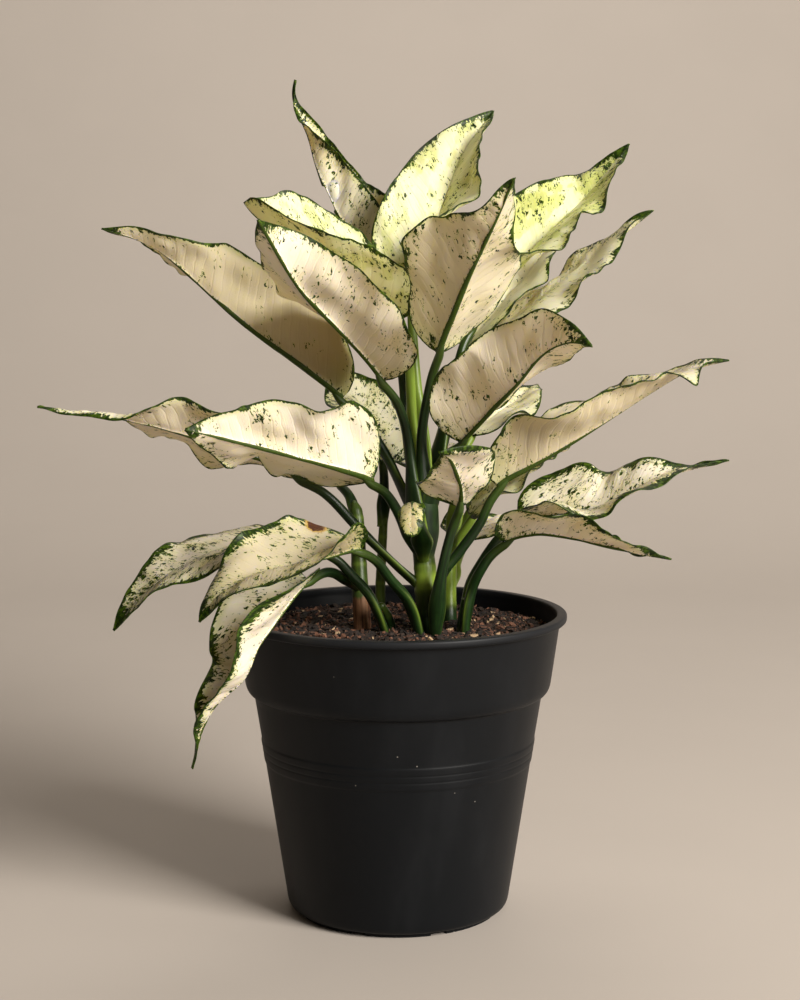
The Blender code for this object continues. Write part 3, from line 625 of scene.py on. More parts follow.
def leaf_paint(settings):
    """Cream blade with green margin and flecks that lie along its side veins, a green rib underneath, and
    painted shade on some leaves.
    """
    paint = Paint("leaf_blade", {"Subsurface Weight": settings.glow, "Subsurface Radius": (1.0, 0.82, 0.12),
                                 "Subsurface Scale": 0.0022, "Specular IOR Level": 0.17})
    vein = paint.vector("vein")
    look = paint.vector("look")
    freckles, youth, margin = (paint.part(look, axis) for axis in "XYZ")
    edge = paint.value("edge")
    share = paint.value("share")
    rib = paint.value("rib")
    under = paint.value("under")
    scar = paint.value("scar")
    # Painted shade: how strongly each point is darkened, twice as much on the underside as on the upper side.
    painted_shade = paint.value("tan") * (under * 0.5 + 0.5)

    patch = paint.noise(vein, (0.045, 0.045, 1.0)) - 0.5
    drift = paint.noise(vein, (0.11, 0.11, 1.0)) - 0.5
    wobble = paint.noise(vein, (0.30, 0.30, 1.0), 2.0) - 0.5
    jitter = paint.noise(vein, (0.9, 0.9, 1.0), 2.0) - 0.5
    shaken = paint.shaken(vein, (0.35, 0.35, 1.0), 5.0)
    ragged = paint.noise(shaken, (1.6, 1.2, 1.0), 3.0, 0.6) - 0.5
    near_edge = paint.ramp(edge, 8.0, 0.5)
    near_tip = paint.ramp(share, 0.72, 0.98)
    near_stalk = paint.ramp(share, 0.14, 0.0)
    near_rib = paint.ramp(rib, 4.0, 1.2)
    crowd = (freckles * 0.5 + near_edge * (freckles * 0.50 + 0.14) + near_tip * (freckles * 0.4 + 0.25)
             + near_stalk * 0.45 + near_rib * 0.12 + patch * 1.5 + drift * 0.9 - 0.06)
    middling, middling_ring = paint.cells(shaken, (0.44, 0.20, 1.0), crowd * 0.8, ragged * 0.9)
    small, small_ring = paint.cells(shaken, (0.95, 0.48, 2.7), crowd * 0.7, ragged * 0.8)
    large, large_ring = paint.cells(shaken, (0.26, 0.11, 4.1), crowd * 0.75 - 0.12, ragged * 1.1)
    island = paint.noise(shaken, (0.26, 0.13, 5.3), 3.0, 0.62)
    fleck = middling | small | large | paint.ramp(island + crowd * 0.16, 0.70, 0.725)
    teeth = paint.noise(vein, (0.62, 0.22, 1.0), 2.0, 0.6) - 0.5
    breadth = paint.ramp(drift + patch + freckles * 0.12, 0.02, 0.16) * 1.3 + 0.75
    rim = paint.ramp(margin * (breadth + teeth * breadth * 3.2 + wobble * 0.9) - edge, -0.12, 0.18)
    tip = paint.ramp(share + wobble * 0.10 + teeth * 0.08 + freckles * 0.05, 0.945, 0.96)
    spikes = paint.ramp(teeth, 0.06, 0.20)
    ridge = paint.ramp(rib - spikes * 0.9 + share * 0.7, 1.10, 0.92) * under
    green = fleck | rim | tip | ridge
    halo = (paint.ramp(teeth + crowd * 0.5, 0.18, 0.4) * 0.5
            | paint.ramp(margin * 2.2 - edge, -1.5, 1.5) * 0.8
            | near_stalk * 0.7 | middling_ring | small_ring | large_ring)

    strands = paint.noise(vein, (1.5, 0.04, 1.0), 2.0)
    ripples = paint.node("ShaderNodeMath", {"operation": "SINE"},
                         {0: paint.part(vein, "X") * (pi / settings.vein_spacing) + drift * 1.8})
    valley = paint.ramp(paint.node("ShaderNodeMath", {"operation": "ABSOLUTE"}, {0: ripples}), 0.45, 0.0)
    cream = paint.mix(youth, settings.cream, settings.young_cream)
    tan = paint.mix(youth, settings.tan, settings.young_tan)
    pale = paint.mix(under, cream, tan)
    pale = paint.mix(paint.ramp(patch + strands * 0.2, 0.05, 0.3) * 0.3, pale, settings.shade)
    # The painted shade mixes the blade towards a darker colour.
    pale = paint.mix(painted_shade, pale, settings.painted_shade_colour)
    glow = paint.ramp(drift + patch * 1.2 + youth * 0.16, 0.10, 0.28) * youth * youth * 0.85
    pale = paint.mix(glow, pale, settings.yellow)
    pale = paint.mix(halo * 0.45, pale, settings.lime)
    dark = paint.mix(paint.ramp(wobble + jitter * 0.6, -0.06, 0.16), settings.green, settings.mid_green)
    colour = paint.mix(green, pale, dark)
    colour = paint.mix(ridge, colour, settings.rib_green)
    scar = scar + (jitter + wobble) * scar * 1.2
    colour = paint.mix(paint.ramp(scar, 0.22, 0.40), colour, settings.scar_edge)
    colour = paint.mix(paint.ramp(scar, 0.38, 0.55), colour, settings.scar)
    roughness = under * 0.12 + strands * 0.12 + 0.34
    relief = paint.bump(strands * 0.4 - valley * (1.0 - near_edge) * 0.5 + jitter * 0.25, 0.45, 0.0005)
    return paint.finished({"Base Color": colour, "Roughness": roughness, "Normal": relief})


def stalk_paint(settings):
    """Dark green stalk with faint streaks, yellow-green where it is young, and brown papery bark."""
    paint = Paint("stalk", {"Subsurface Weight": 0.05, "Subsurface Scale": 0.002, "Specular IOR Level": 0.32})
    fibre = paint.vector("fibre")
    lime = paint.value("lime")
    bark = paint.value("bark")
    streaks = paint.noise(fibre, (0.9, 0.9, 0.035), 2.0)
    mottle = paint.noise(fibre, (0.25, 0.25, 0.12), 2.0)
    streaky = paint.ramp(streaks * 0.6 + mottle * 0.4, 0.42, 0.62)
    green = paint.mix(lime, paint.mix(streaky, settings.green, settings.light_green), settings.lime)
    brown = paint.mix(paint.ramp(streaks, 0.4, 0.6), settings.bark, settings.pale_bark)
    colour = paint.mix(paint.ramp(bark + mottle * 0.5 - 0.25, 0.4, 0.6), green, brown)
    roughness = bark * 0.35 + mottle * 0.25 + 0.24
    relief = paint.bump(streaks + mottle * 0.6, 0.3, 0.0005)
    return paint.finished({"Base Color": colour, "Roughness": roughness, "Normal": relief})


def pot_paint(settings):
    """Black moulded plastic, satin, with a fine grain, faint rubbed patches, a painted highlight along the
    lip and a few specks of dust.
    """
    paint = Paint("pot_plastic", {"Specular IOR Level": settings.sheen})
    place = paint.place()
    grain = paint.noise(place, (1900.0, 1900.0, 1900.0), 1.0)
    rubbed = paint.noise(place, (28.0, 28.0, 9.0), 4.0, 0.6)
    cell = {"Vector": place, "Scale": 95.0}
    distance = paint.node("ShaderNodeTexVoronoi", {}, cell, "Distance")
    chance = paint.node("ShaderNodeTexVoronoi", {}, cell, "Color")
    speck = paint.ramp(distance, 0.045, 0.025) * paint.ramp(paint.part(chance, "X"), 0.72, 0.76)
    # Painted highlight: the top of the lip is given the lighter rubbed colour.
    lip = paint.ramp(paint.part(place, "Z"), settings.height - 0.004, settings.height - 0.001)
    wear_and_lip_highlight = paint.ramp(rubbed, 0.45, 0.75) * 0.35 | lip
    colour = paint.mix(wear_and_lip_highlight, settings.colour, settings.rubbed)
    colour = paint.mix(speck * settings.dust, colour, settings.dust_colour)
    roughness = rubbed * 0.16 + speck * 0.3 + (settings.roughness - 0.08)
    relief = paint.bump(grain * 0.5 + rubbed, 0.12, 0.0004)
    return paint.finished({"Base Color": colour, "Roughness": roughness, "Normal": relief})


def soil_paint(settings):
    """Damp peat: near-black crumbs with red-brown fibres and a few pale grains."""
    paint = Paint("soil", {"Roughness": 0.92})
    place = paint.place()
    hue = paint.value("hue")
    crumbs = paint.noise(place, (420.0, 420.0, 420.0), 3.0, 0.65)
    clods = paint.noise(place, (90.0, 90.0, 90.0), 2.0)
    colour = paint.mix(paint.ramp(crumbs + clods * 0.5, 0.6, 1.0), settings.dark, settings.brown)
    colour = paint.mix(paint.ramp(hue, 0.50, 0.86), colour, settings.russet)
    colour = paint.mix(paint.ramp(hue, 0.945, 0.965), colour, settings.pale)
    return paint.finished({"Base Color": colour, "Normal": paint.bump(crumbs, 0.6, 0.0012)})


# Pot

def pot_outside(z):
    """The body's outer radius at a height below the collar."""
    body_height = COLLAR_BOTTOM_Z - FOOT_HEIGHT
    return BASE_RADIUS + (BODY_TOP_RADIUS - BASE_RADIUS) * (z - FOOT_HEIGHT) / body_height


def pot_inside(z):
    """The body's inner radius at a height below the collar."""
    return pot_outside(z) - WALL


def rounded(corners, steps=5):
    """A profile of (radius, z) from corners of (radius, z, rounding): each corner becomes a parabola's arc.

    The arc starts and ends at the rounding's distance from the corner, or half way to its neighbour.
    """
    corners = np.asarray(corners, float)
    profile = [corners[0, :2]]
    share = np.linspace(0.0, 1.0, steps + 1)[:, None]
    for before, here, after in zip(corners[:-2], corners[1:-1], corners[2:]):
        ends = []
        for other in (before, after):
            reach = np.linalg.norm(other[:2] - here[:2])
            ends.append(here[:2] + (other[:2] - here[:2]) * min(here[2] / reach, 0.49))
        if here[2] > 0:
            profile += list(ends[0] * (1 - share)**2 + here[:2] * 2 * share * (1 - share)
                            + ends[1] * share**2)
        else:
            profile.append(here[:2])
    profile.append(corners[-1, :2])
    return np.array(profile)


def pot_profile(rim, height):
    """The wall from the inside floor's middle up the inside, over the lip and down to the underside."""
    lip_low = height - LIP_HEIGHT
    inner_lip = COLLAR_TOP_RADIUS - WALL
    inside = [
        (0.4, FLOOR_Z, 0.0),
        (pot_inside(FLOOR_Z) - 1.4, FLOOR_Z, 2.0),
        (pot_inside(FLOOR_Z + SHOULDER), FLOOR_Z + SHOULDER, 2.0),
        (pot_inside(COLLAR_BOTTOM_Z - SHOULDER), COLLAR_BOTTOM_Z - SHOULDER, 1.5),
        (COLLAR_BOTTOM_RADIUS - WALL - 0.4, COLLAR_BOTTOM_Z + 2.0, 1.5),
        (inner_lip, lip_low, 1.0),
        (inner_lip, height, 1.2),
    ]
    outside = [
        (rim, height, LIP_ROUND),
        (rim, lip_low, LIP_ROUND),
        (COLLAR_TOP_RADIUS, lip_low - 0.4, 0.8),
        (COLLAR_BOTTOM_RADIUS, COLLAR_BOTTOM_Z + SHOULDER, SHOULDER),
        (COLLAR_BOTTOM_RADIUS - SHOULDER_ROUND, COLLAR_BOTTOM_Z - 0.3, SHOULDER_ROUND),
        (BODY_TOP_RADIUS, COLLAR_BOTTOM_Z - 1.2, 1.0),
        (pot_outside(BAND_TOP_Z + 1.0), BAND_TOP_Z + 1.0, 0.8),
        (pot_outside(BAND_TOP_Z) + BAND_HEIGHT, BAND_TOP_Z, 0.8),
    ]
    for z in GROOVE_HEIGHTS:
        for step, drop in ((0.8, 0.0), (0.0, GROOVE_DEPTH), (-0.8, 0.0)):
            outside.append((pot_outside(z + step) + BAND_HEIGHT - drop, z + step, 0.5))
    outside += [
        (pot_outside(BAND_BOTTOM_Z) + BAND_HEIGHT, BAND_BOTTOM_Z, 0.8),
        (pot_outside(BAND_BOTTOM_Z - 1.0), BAND_BOTTOM_Z - 1.0, 0.8),
        (pot_outside(FOOT_HEIGHT - 0.3), FOOT_HEIGHT - 0.3, BASE_ROUND),
        (FOOT_RADIUS, FOOT_HEIGHT - 0.3, 0.4),
        (FOOT_RADIUS, 0.0, 0.3),
        (FOOT_RADIUS - NOTCH_SIZE[0] / 2, 0.0, 0.1),
        (0.4, 0.0, 0.0),
    ]
    return rounded(inside + outside)


def add_rows(profile, longest):
    """The profile with points added so that no run of it is longer than the given length."""
    rows = []
    for here, after in zip(profile[:-1], profile[1:]):
        count = max(1, int(np.ceil(np.linalg.norm(after - here) / longest)))
        rows.append(here + (after - here) * (np.arange(count) / count)[:, None])
    rows.append(profile[-1:])
    return np.concatenate(rows)


def pot_shell(rim, height):
    """The profile carried round the axis, with the foot's notches raised from its underside.

    A point of radius r at angle a is (r cos a, r sin a, z). Where a is within a notch's width and the point
    lies on the foot, z is lifted to the notch's height.
    """
    profile = add_rows(pot_profile(rim, height), POT_ROW_RUN)
    half_notch = NOTCH_SIZE[1] / 2 / FOOT_RADIUS
    middles = 2 * pi * (np.arange(NOTCH_COUNT) + 0.5) / NOTCH_COUNT
    edges = [middles + side * (half_notch + reach) for side in (-1, 1) for reach in (-0.002, 0.002)]
    angle = np.sort(np.concatenate([np.linspace(0.0, 2 * pi, POT_SEGMENTS, endpoint=False), *edges]))
    radius, z = profile[:, :1], profile[:, 1:]
    in_notch = np.abs(angle[:, None] - middles).min(axis=1) < half_notch
    on_foot = (radius > FOOT_RADIUS - NOTCH_SIZE[0] / 2 - 0.05) & (radius < FOOT_RADIUS + 0.1)
    z = np.where(on_foot & (z < NOTCH_SIZE[2]) & in_notch, NOTCH_SIZE[2], z)
    points = together(*ring_place(radius, angle), z)
    return Shell(points.reshape(-1, 3), closed_rings(*z.shape), {})


def drill(piece, circle, radius, count):
    """Cuts a ring of round drain holes through the piece's floor, and keeps only the result."""
    cutters = bpy.data.collections.new("drain_cutters")
    bpy.context.scene.collection.children.link(cutters)
    for index in range(count):
        angle = 2 * pi * index / count
        bpy.ops.mesh.primitive_cylinder_add(
            vertices=40, radius=radius * MM, depth=4 * FLOOR_Z * MM,
            location=(circle * np.cos(angle) * MM, circle * np.sin(angle) * MM, 0.0))
        tool = bpy.context.object
        for owner in list(tool.users_collection):
            owner.objects.unlink(tool)
        cutters.objects.link(tool)
    hole = piece.modifiers.new("drains", "BOOLEAN")
    hole.operand_type = "COLLECTION"
    hole.collection = cutters
    hole.solver = "EXACT"
    graph = bpy.context.evaluated_depsgraph_get()
    drilled = bpy.data.meshes.new_from_object(piece.evaluated_get(graph))
    piece.modifiers.clear()
    piece.data = drilled
    for tool in list(cutters.objects):
        bpy.data.objects.remove(tool)
    bpy.data.collections.remove(cutters)


# Soil

def soil_height(x, y):
    """A parabola of the radius under random lumps of four sizes, which are damped at the very edge."""
    radius = np.hypot(x, y)
    dome = SOIL_EDGE_Z + SOIL_DOME * (1 - (radius / SOIL_REACH)**2)
    crumbs = sum(lumps(x, y, cell, 11 + index) * height for index, (cell, height) in enumerate(SOIL_LUMPS))
    return dome + (crumbs - SOIL_LUMPS_MEAN) * ease(radius, SOIL_REACH + 0.5, SOIL_REACH - 4.0)


def soil_shell():
    """The crumbly top as a round grid of heights, closed by a wall and a floor just inside the pot."""
    inner_low = COLLAR_BOTTOM_RADIUS - WALL - 0.4
    widening = COLLAR_TOP_RADIUS - WALL - inner_low
    edge = inner_low + widening * (SOIL_EDGE_Z - COLLAR_INSIDE_Z) / COLLAR_INSIDE_HEIGHT - SOIL_GAP
    angle = np.linspace(0.0, 2 * pi, SOIL_SEGMENTS, endpoint=False)
    x, y = ring_place(np.linspace(0.4, edge, SOIL_RINGS)[:, None], angle)
    rings = [together(x, y, soil_height(x, y))]
    for radius, z in ((inner_low - SOIL_GAP, COLLAR_BOTTOM_Z + 2.0),
                      (pot_inside(COLLAR_BOTTOM_Z - SHOULDER) - SOIL_GAP, COLLAR_BOTTOM_Z - SHOULDER),
                      (pot_inside(FLOOR_Z) - 1.6, FLOOR_Z + SOIL_GAP),
                      (1.0, FLOOR_Z + SOIL_GAP)):
        rings.append(together(*ring_place(radius, angle), z)[None])
    points = np.concatenate(rings).reshape(-1, 3)
    faces = closed_rings(len(points) // SOIL_SEGMENTS, SOIL_SEGMENTS)
    return Shell(points, faces, {"hue": lumps(points[:, 0], points[:, 1], 1.9, 21) * 0.55})


def chips_shell(settings):
    """Splinters and grains lying on the soil: boxes with jittered corners, leaned and turned at random.

    Each lies at the radius of a circle times the square root of a random share, which spreads them evenly,
    and its length grows with a power of another random share, so most are small.
    """
    draw = np.random.default_rng(settings.seed)
    count = settings.chips
    radius = CHIPS_REACH * np.sqrt(draw.random(count))
    x, y = ring_place(radius, draw.random(count) * 2 * pi)
    keep = np.ones(count, bool)
    for stem in STEMS:
        away = np.hypot(x - stem.route[0][0], y - stem.route[0][1])
        keep &= away > stem.foot_radius + CHIP_CLEARANCE
    corner = np.array([(i, j, k) for i in (-1, 1) for j in (-1, 1) for k in (-1, 1)], float) * 0.5
    long_size = settings.chip_size / MM * (0.35 + 1.1 * draw.random(count)**2.2)
    sizes = together(long_size, long_size * draw.uniform(0.25, 0.7, count),
                     long_size * draw.uniform(0.15, 0.5, count))
    shape = (corner + draw.uniform(-0.18, 0.18, (count, 8, 3))) * sizes[:, None, :]
    yaw = draw.random(count) * 2 * pi
    tilt = draw.normal(0.0, 0.45, count)
    up, ahead = spin(shape[..., 2], shape[..., 0], tilt)
    turned = together(*spin(ahead, shape[..., 1], yaw), up)
    middle = together(x, y, soil_height(x, y) + sizes[:, 2] * 0.2)
    points = (turned + middle[:, None, :])[keep]
    sides = np.array([(0, 1, 3, 2), (4, 6, 7, 5), (0, 4, 5, 1), (2, 3, 7, 6), (0, 2, 6, 4), (1, 5, 7, 3)])
    faces = (sides[None] + np.arange(len(points))[:, None, None] * 8).reshape(-1, 4).tolist()
    hue = np.repeat(draw.random(count)[keep], 8)
    return Shell(points.reshape(-1, 3), faces, {"hue": hue})


# Leaves and stems

def blade_half_width(leaf, share, side):
    """The square root of the share of length times a power of what is left, scaled to half the width.

    Each lobe of that half multiplies it by one plus its amount times a bell curve of the share.
    """
    peak = 0.5 / (0.5 + leaf.point)
    tallest = np.sqrt(peak) * (1 - peak)**leaf.point
    half = leaf.width / 2 * np.sqrt(share) * (1 - share)**leaf.point / tallest
    for lobe_side, middle, spread, amount in leaf.lobes:
        if lobe_side == side:
            half = half * (1 + amount * np.exp(-((share - middle) / spread)**2))
    return np.maximum(half, TIP_WIDTH / 2)


def blade_fold(leaf, share, side):
    """The extra bend across that half in radians, as a sum of bell curves of the share."""
    bend = np.zeros_like(share)
    for fold_side, middle, spread, amount in leaf.folds:
        if fold_side == side:
            bend += np.radians(amount) * np.exp(-((share - middle) / spread)**2)
    return bend


def blade_level(spine):
    """The level direction square to the blade's heading."""
    heading = spine[-1] - spine[0]
    return np.array([-heading[1], heading[0], 0.0]) / np.hypot(heading[0], heading[1])


def half_columns(half, rib_half):
    """Distances from the midrib of the points across one half, close over the rib and at the rim."""
    inner = np.minimum(rib_half * RIB_COLUMNS, half * np.linspace(0.0, 0.55, len(RIB_COLUMNS)))
    last = np.maximum(half - RIM_RUN, inner[:, -1:] + (half - inner[:, -1:]) * 0.6)
    outer = inner[:, -1:] + (last - inner[:, -1:]) * np.linspace(0.0, 1.0, BLADE_COLUMNS + 1)[1:]
    return np.concatenate([inner, outer, half], axis=1)


class Grid(NamedTuple):
    """A blade's points before they are bent, in rows along it and columns across.

    share and run say how far along a row lies. distance is a point's distance from the midrib, on side 1,
    the left, or -1, the right, half the width of that half there and reach the distance over it.
    """
    length: float
    share: np.ndarray
    run: np.ndarray
    distance: np.ndarray
    side: np.ndarray
    half: np.ndarray
    reach: np.ndarray
    rib_half: np.ndarray


def blade_grid(leaf, length, settings):
    """Rows at even shares of the length, and columns from the right margin to the left one."""
    share = np.linspace(BLADE_START, 1.0, max(FEWEST_STATIONS, int(length / STATION_RUN)))[:, None]
    rib_half = settings.rib_width / MM / 2 * (1 - share)**0.8 + 0.3
    left_half, right_half = (blade_half_width(leaf, share, side) for side in (1, -1))
    left, right = (half_columns(half, rib_half) for half in (left_half, right_half))
    distance = np.concatenate([right[:, :0:-1], left], axis=1)
    side = np.where(np.arange(distance.shape[1]) < left.shape[1] - 1, -1.0, 1.0)
    half = np.where(side > 0, left_half, right_half)
    return Grid(length, share, length * share, distance, side, half, distance / half, rib_half)


def blade_bend(leaf, grid):
    """How far each point lies out and up from the midrib, and the slope there in radians.

    A half is an arc that has its rise as its slope half way out. It turns by its curl across its width, and
    further where it is folded. Out and up are the sums of the slope's cosine and sine along it.
    """
    rise = np.where(grid.side > 0, *(np.radians(blend_three(rises, grid.share))
                                     for rises in (leaf.left, leaf.right)))
    curl = radians(leaf.curl) * grid.half / (leaf.width / 2) + 1e-6
    first = rise - curl / 2
    curl = curl + np.where(grid.side > 0, *(blade_fold(leaf, grid.share, side) for side in (1, -1)))
    slope = first + curl * grid.reach
    out = (np.sin(slope) - np.sin(first)) / curl * grid.half
    lift = (np.cos(first) - np.cos(slope)) / curl * grid.half
    return out, lift, slope


def vein_place(grid, settings):
    """Millimetres across the side veins, which lean and bend towards the tip, and millimetres along them."""
    across = grid.run - settings.vein_slant * grid.distance - VEIN_BEND * grid.distance**2
    return across, grid.distance * 1.15 + 0.2 * grid.run


def blade_ripple(leaf, number, grid, settings):
    """How far each point is lifted square to the bend.

    The margin waves as a sine along the leaf that grows with the square of the reach. The skin bulges
    between its side veins as the absolute value of a sine and has random dents, and both fade at the
    midrib, the margin and the ends. Two finer random ripples run along the margin.
    """
    side, reach = grid.side, grid.reach
    seed = 100 + 7 * number
    height, count, phase = leaf.wave
    envelope = np.sin(pi * grid.share)**0.6
    phase = phase + np.where(side > 0, 0.0, RIGHT_WAVE_PHASE)
    wave = height * reach**2 * envelope * np.sin(2 * pi * (count * grid.share + phase))

    across, along_veins = vein_place(grid, settings)
    x = across + RANDOM_ORIGIN
    y = along_veins * side + RANDOM_ORIGIN
    uneven = lumps(x, y, 16.0, seed)
    bulge = np.abs(np.sin(pi * across / settings.vein_spacing + 3.0 * uneven)) - 0.6
    bulge = bulge * (0.3 + 1.4 * lumps(x, y, 12.0, seed + 1))
    run = grid.run + 0 * reach
    rolling = ((lumps(x, y * 0.6, 9.0, seed + 2) - 0.5) * 1.7 + (uneven - 0.5) * 2.4
               + (lumps(run + RANDOM_ORIGIN, y, 26.0, seed + 5) - 0.5) * 2.6)
    fade = np.sin(pi * np.clip(reach, 0.0, 1.0))**0.6 * envelope
    margin_place = side * 40.0 + 0 * grid.run + RANDOM_ORIGIN
    frill = (lumps(run, margin_place, 6.0, seed + 3) - 0.5) * reach**6
    frill += (lumps(run, margin_place, 15.0, seed + 4) - 0.5) * 2.2 * reach**3
    return wave + (bulge * settings.quilting / MM * fade + rolling * settings.rolling * fade
                   + frill * settings.frill / MM * envelope)


def blade_skin(leaf, grid, top, settings):
    """Rows of points once round the blade: its upper side, a rim, its underside and the other rim.

    The underside lies below by a thickness that falls towards the margin, with a half ellipse as its rib. A
    shallow groove runs along the midrib on the upper side.
    """
    left_over = 1 - grid.share
    broad = ease(grid.half, 0.8, 4.0)
    normal = unit(np.cross(np.gradient(top, axis=0), np.gradient(top, axis=1)))
    ridge = settings.rib_height / MM * left_over**1.1 + 0.1
    rib = ridge * np.sqrt(np.clip(1 - (grid.distance / (grid.rib_half * 1.05))**2, 0.0, 1.0))
    depth = settings.thickness / MM * (1 - 0.35 * grid.reach) + rib * broad
    bottom = top - normal * depth[..., None]
    near_rib = np.clip(grid.distance / (grid.rib_half * 1.5), 0.0, 1.0)
    groove = GROOVE_OVER_RIB * left_over * (1 - near_rib)**2 * broad * ease(leaf.width, 20, 40)
    top = top - normal * groove[..., None]
    outward = unit(top[:, [0, -1]] - top[:, [1, -2]])
    rim = (top[:, [0, -1]] + bottom[:, [0, -1]]) / 2 + outward * depth[:, [0, -1], None] * 0.4
    return np.concatenate([top, rim[:, 1:], bottom[:, ::-1], rim[:, :1]], axis=1)


def blade_faces(rows, columns):
    """The quads between the rings of points, and a strip of faces that closes each end."""
    ring = 2 * columns + 2
    faces = ring_quads(rows, ring)
    cap = [[j, j + 1, 2 * columns - 1 - j, 2 * columns - j] for j in range(columns - 1)]
    cap += [[columns - 1, columns, columns + 1], [2 * columns, 2 * columns + 1, 0]]
    faces += cap
    faces += [[index + (rows - 1) * ring for index in reversed(face)] for face in cap]
    return faces


def blade_marks(leaf, number, grid, settings):
    """What each point of the skin carries for its material.

    vein is its place across and along the side veins, moved so that no two halves share their markings.
    look holds the leaf's freckles, youth and margin. edge is the distance to the margin, rib the distance
    from the midrib over half the midrib's width, and under 1 on the underside. scar is a bell curve of the
    distance from the brown spot. tan is the strength of the painted shade along the blade.
    """
    side, share = grid.side, grid.share

    def around(value):
        """A value of the upper side's points, repeated for the rims and the underside."""
        value = value + 0 * grid.reach
        return np.concatenate([value, value[:, -1:], value[:, ::-1], value[:, :1]], axis=1).ravel()

    across, along_veins = vein_place(grid, settings)
    own = settings.vein_spacing * (VEIN_STEPS_APART * number + np.where(side > 0, VEIN_STEPS_APART / 2, 0.0))
    slope = np.gradient(grid.half, grid.run[:, 0], axis=0)
    scar = 0.0
    if leaf.scar:
        scar_share, scar_place, scar_size = leaf.scar
        away = np.hypot((share - scar_share) * grid.length, grid.distance * side - scar_place)
        scar = np.exp(-(away / scar_size)**2)
    rows, columns = grid.reach.shape
    once_round = np.concatenate([np.zeros(columns), [0.5], np.ones(columns), [0.5]])
    return {
        "vein": together(around(across + own), around(along_veins + own), 0.0),
        "look": together(around(leaf.freckles), leaf.youth, leaf.margin),
        "edge": around((grid.half - grid.distance) / np.sqrt(1 + slope**2)),
        "share": around(share * (1.0 if leaf.point >= 1 else 0.9)),
        "rib": around(grid.distance / grid.rib_half),
        "under": np.tile(once_round, rows),
        "scar": around(scar),
        # Painted shade: how strongly the blade is darkened along its length.
        "tan": around(blend_three(leaf.tan, share)),
    }


def blade_shell(leaf, number, settings):
    """A blade as a closed skin whose rows are rings round it, from the stalk to the tip.

    A point of the upper side is its row's point of the midrib, moved across by the bend and up by its lift,
    and moved by its ripple square to the bend.
    """
    curve, arc, stops = smooth_route(leaf.stalk + leaf.midrib)
    start = stops[len(leaf.stalk)]
    grid = blade_grid(leaf, arc[-1] - start, settings)
    rows, columns = grid.reach.shape
    spine = along(curve, arc, start + grid.length * np.linspace(0.0, 1.0, rows))
    across, up = path_frame(spine, blade_level(spine))
    out, lift, slope = blade_bend(leaf, grid)
    ripple = blade_ripple(leaf, number, grid, settings)
    out = grid.side * (out - ripple * np.sin(slope))
    lift = lift + ripple * np.cos(slope)
    top = spine[:, None] + out[..., None] * across[:, None] + lift[..., None] * up[:, None]
    points = blade_skin(leaf, grid, top, settings).reshape(-1, 3)
    return Shell(points, blade_faces(rows, columns), blade_marks(leaf, number, grid, settings))


def round_angles(sides):
    """Angles once round a tube, in the order that makes its faces point outwards."""
    return -np.linspace(0.0, 2 * pi, sides, endpoint=False)


def tube_shell(spine, across, up, wide, deep, values):
    """A closed tube whose rows are ellipses of half-widths wide and deep, with small flat ends."""
    angle = round_angles(wide.shape[1])
    points = (spine[:, None] + (wide * np.cos(angle))[..., None] * across[:, None]
              + (deep * np.sin(angle))[..., None] * up[:, None])
    flat = {}
    for key, value in values.items():
        spread = value + 0 * (wide if value.ndim == 2 else wide[..., None])
        flat[key] = spread.reshape(-1, *value.shape[2:])
    return Shell(points.reshape(-1, 3), closed_rings(*wide.shape), flat)


def fibre_place(angle, radius, at, number):
    """Millimetres round a tube, millimetres along it, and a number of its own, for the streaks."""
    return together(np.cos(angle) * radius, np.sin(angle) * radius + FIBRE_STEP * number, at)


def stalk_shell(leaf, number, settings):
    """A leaf's stalk, from inside its cane to under its midrib.

    It is round at the top. Lower down it broadens into a sheath that is hollowed on the side of the cane
    and narrows again to its foot. Its last stretch sinks below the blade's upper side and thins into the
    rib.
    """
    route = (leaf.foot,) + leaf.stalk[1:] if leaf.foot else leaf.stalk
    curve, arc, stops = smooth_route(route + leaf.midrib)
    start = stops[len(leaf.stalk)]
    end = start + STALK_REACH
    at = np.linspace(0.0, end, STALK_ROWS)[:, None]
    spine = along(curve, arc, at[:, 0])
    across, up = path_frame(spine, blade_level(np.array([leaf.stalk[0], leaf.midrib[-1]], float)))
    share = np.clip(at / start, 0.0, 1.0)
    radius = STALK_RADIUS_LOW + (STALK_RADIUS_HIGH - STALK_RADIUS_LOW) * share**0.7
    radius = radius * (1 - 0.55 * ease(at, start - 2, end))
    radius = radius * np.sqrt(np.clip((end + 0.3 - at) / 4.0, 0.05, 1.0))
    spine = spine - ease(at, start - 16, start + 2) * (radius * 0.85) * up
    clasp = ease(at, *((6.0, 36.0) if leaf.foot else (-4.0, 22.0)))
    radius = radius * (0.75 + 0.25 * clasp)
    broad = settings.sheath * (1.5 if leaf.stem == "stem_main" and leaf.stalk[0][2] > NODE_Z else 1.0)
    sheath = (1 - ease(share, 0.4 * leaf.sheath, leaf.sheath)) * clasp
    angle = round_angles(STALK_SIDES)
    inner_side = np.clip(np.sin(angle), 0.0, 1.0)
    wide = radius * (1 + broad * sheath) * np.ones_like(angle)
    deep = radius * (1 + 0.1 * sheath) * (1 - 0.75 * sheath * inner_side**0.5)
    wing = np.abs(np.cos(angle))**30 * sheath
    foot = 0.0 if leaf.foot else 0.35 * ease(at, 10.0, 0.0)
    lime = leaf.lime * (1 - 0.3 * share) + wing * 0.5 + 0.08 * ease(share, 0.75, 1.0) + foot
    fibre = fibre_place(angle, 3.0, at, number)
    return tube_shell(spine, across, up, wide, deep, {"fibre": fibre, "lime": lime, "bark": 0 * share})


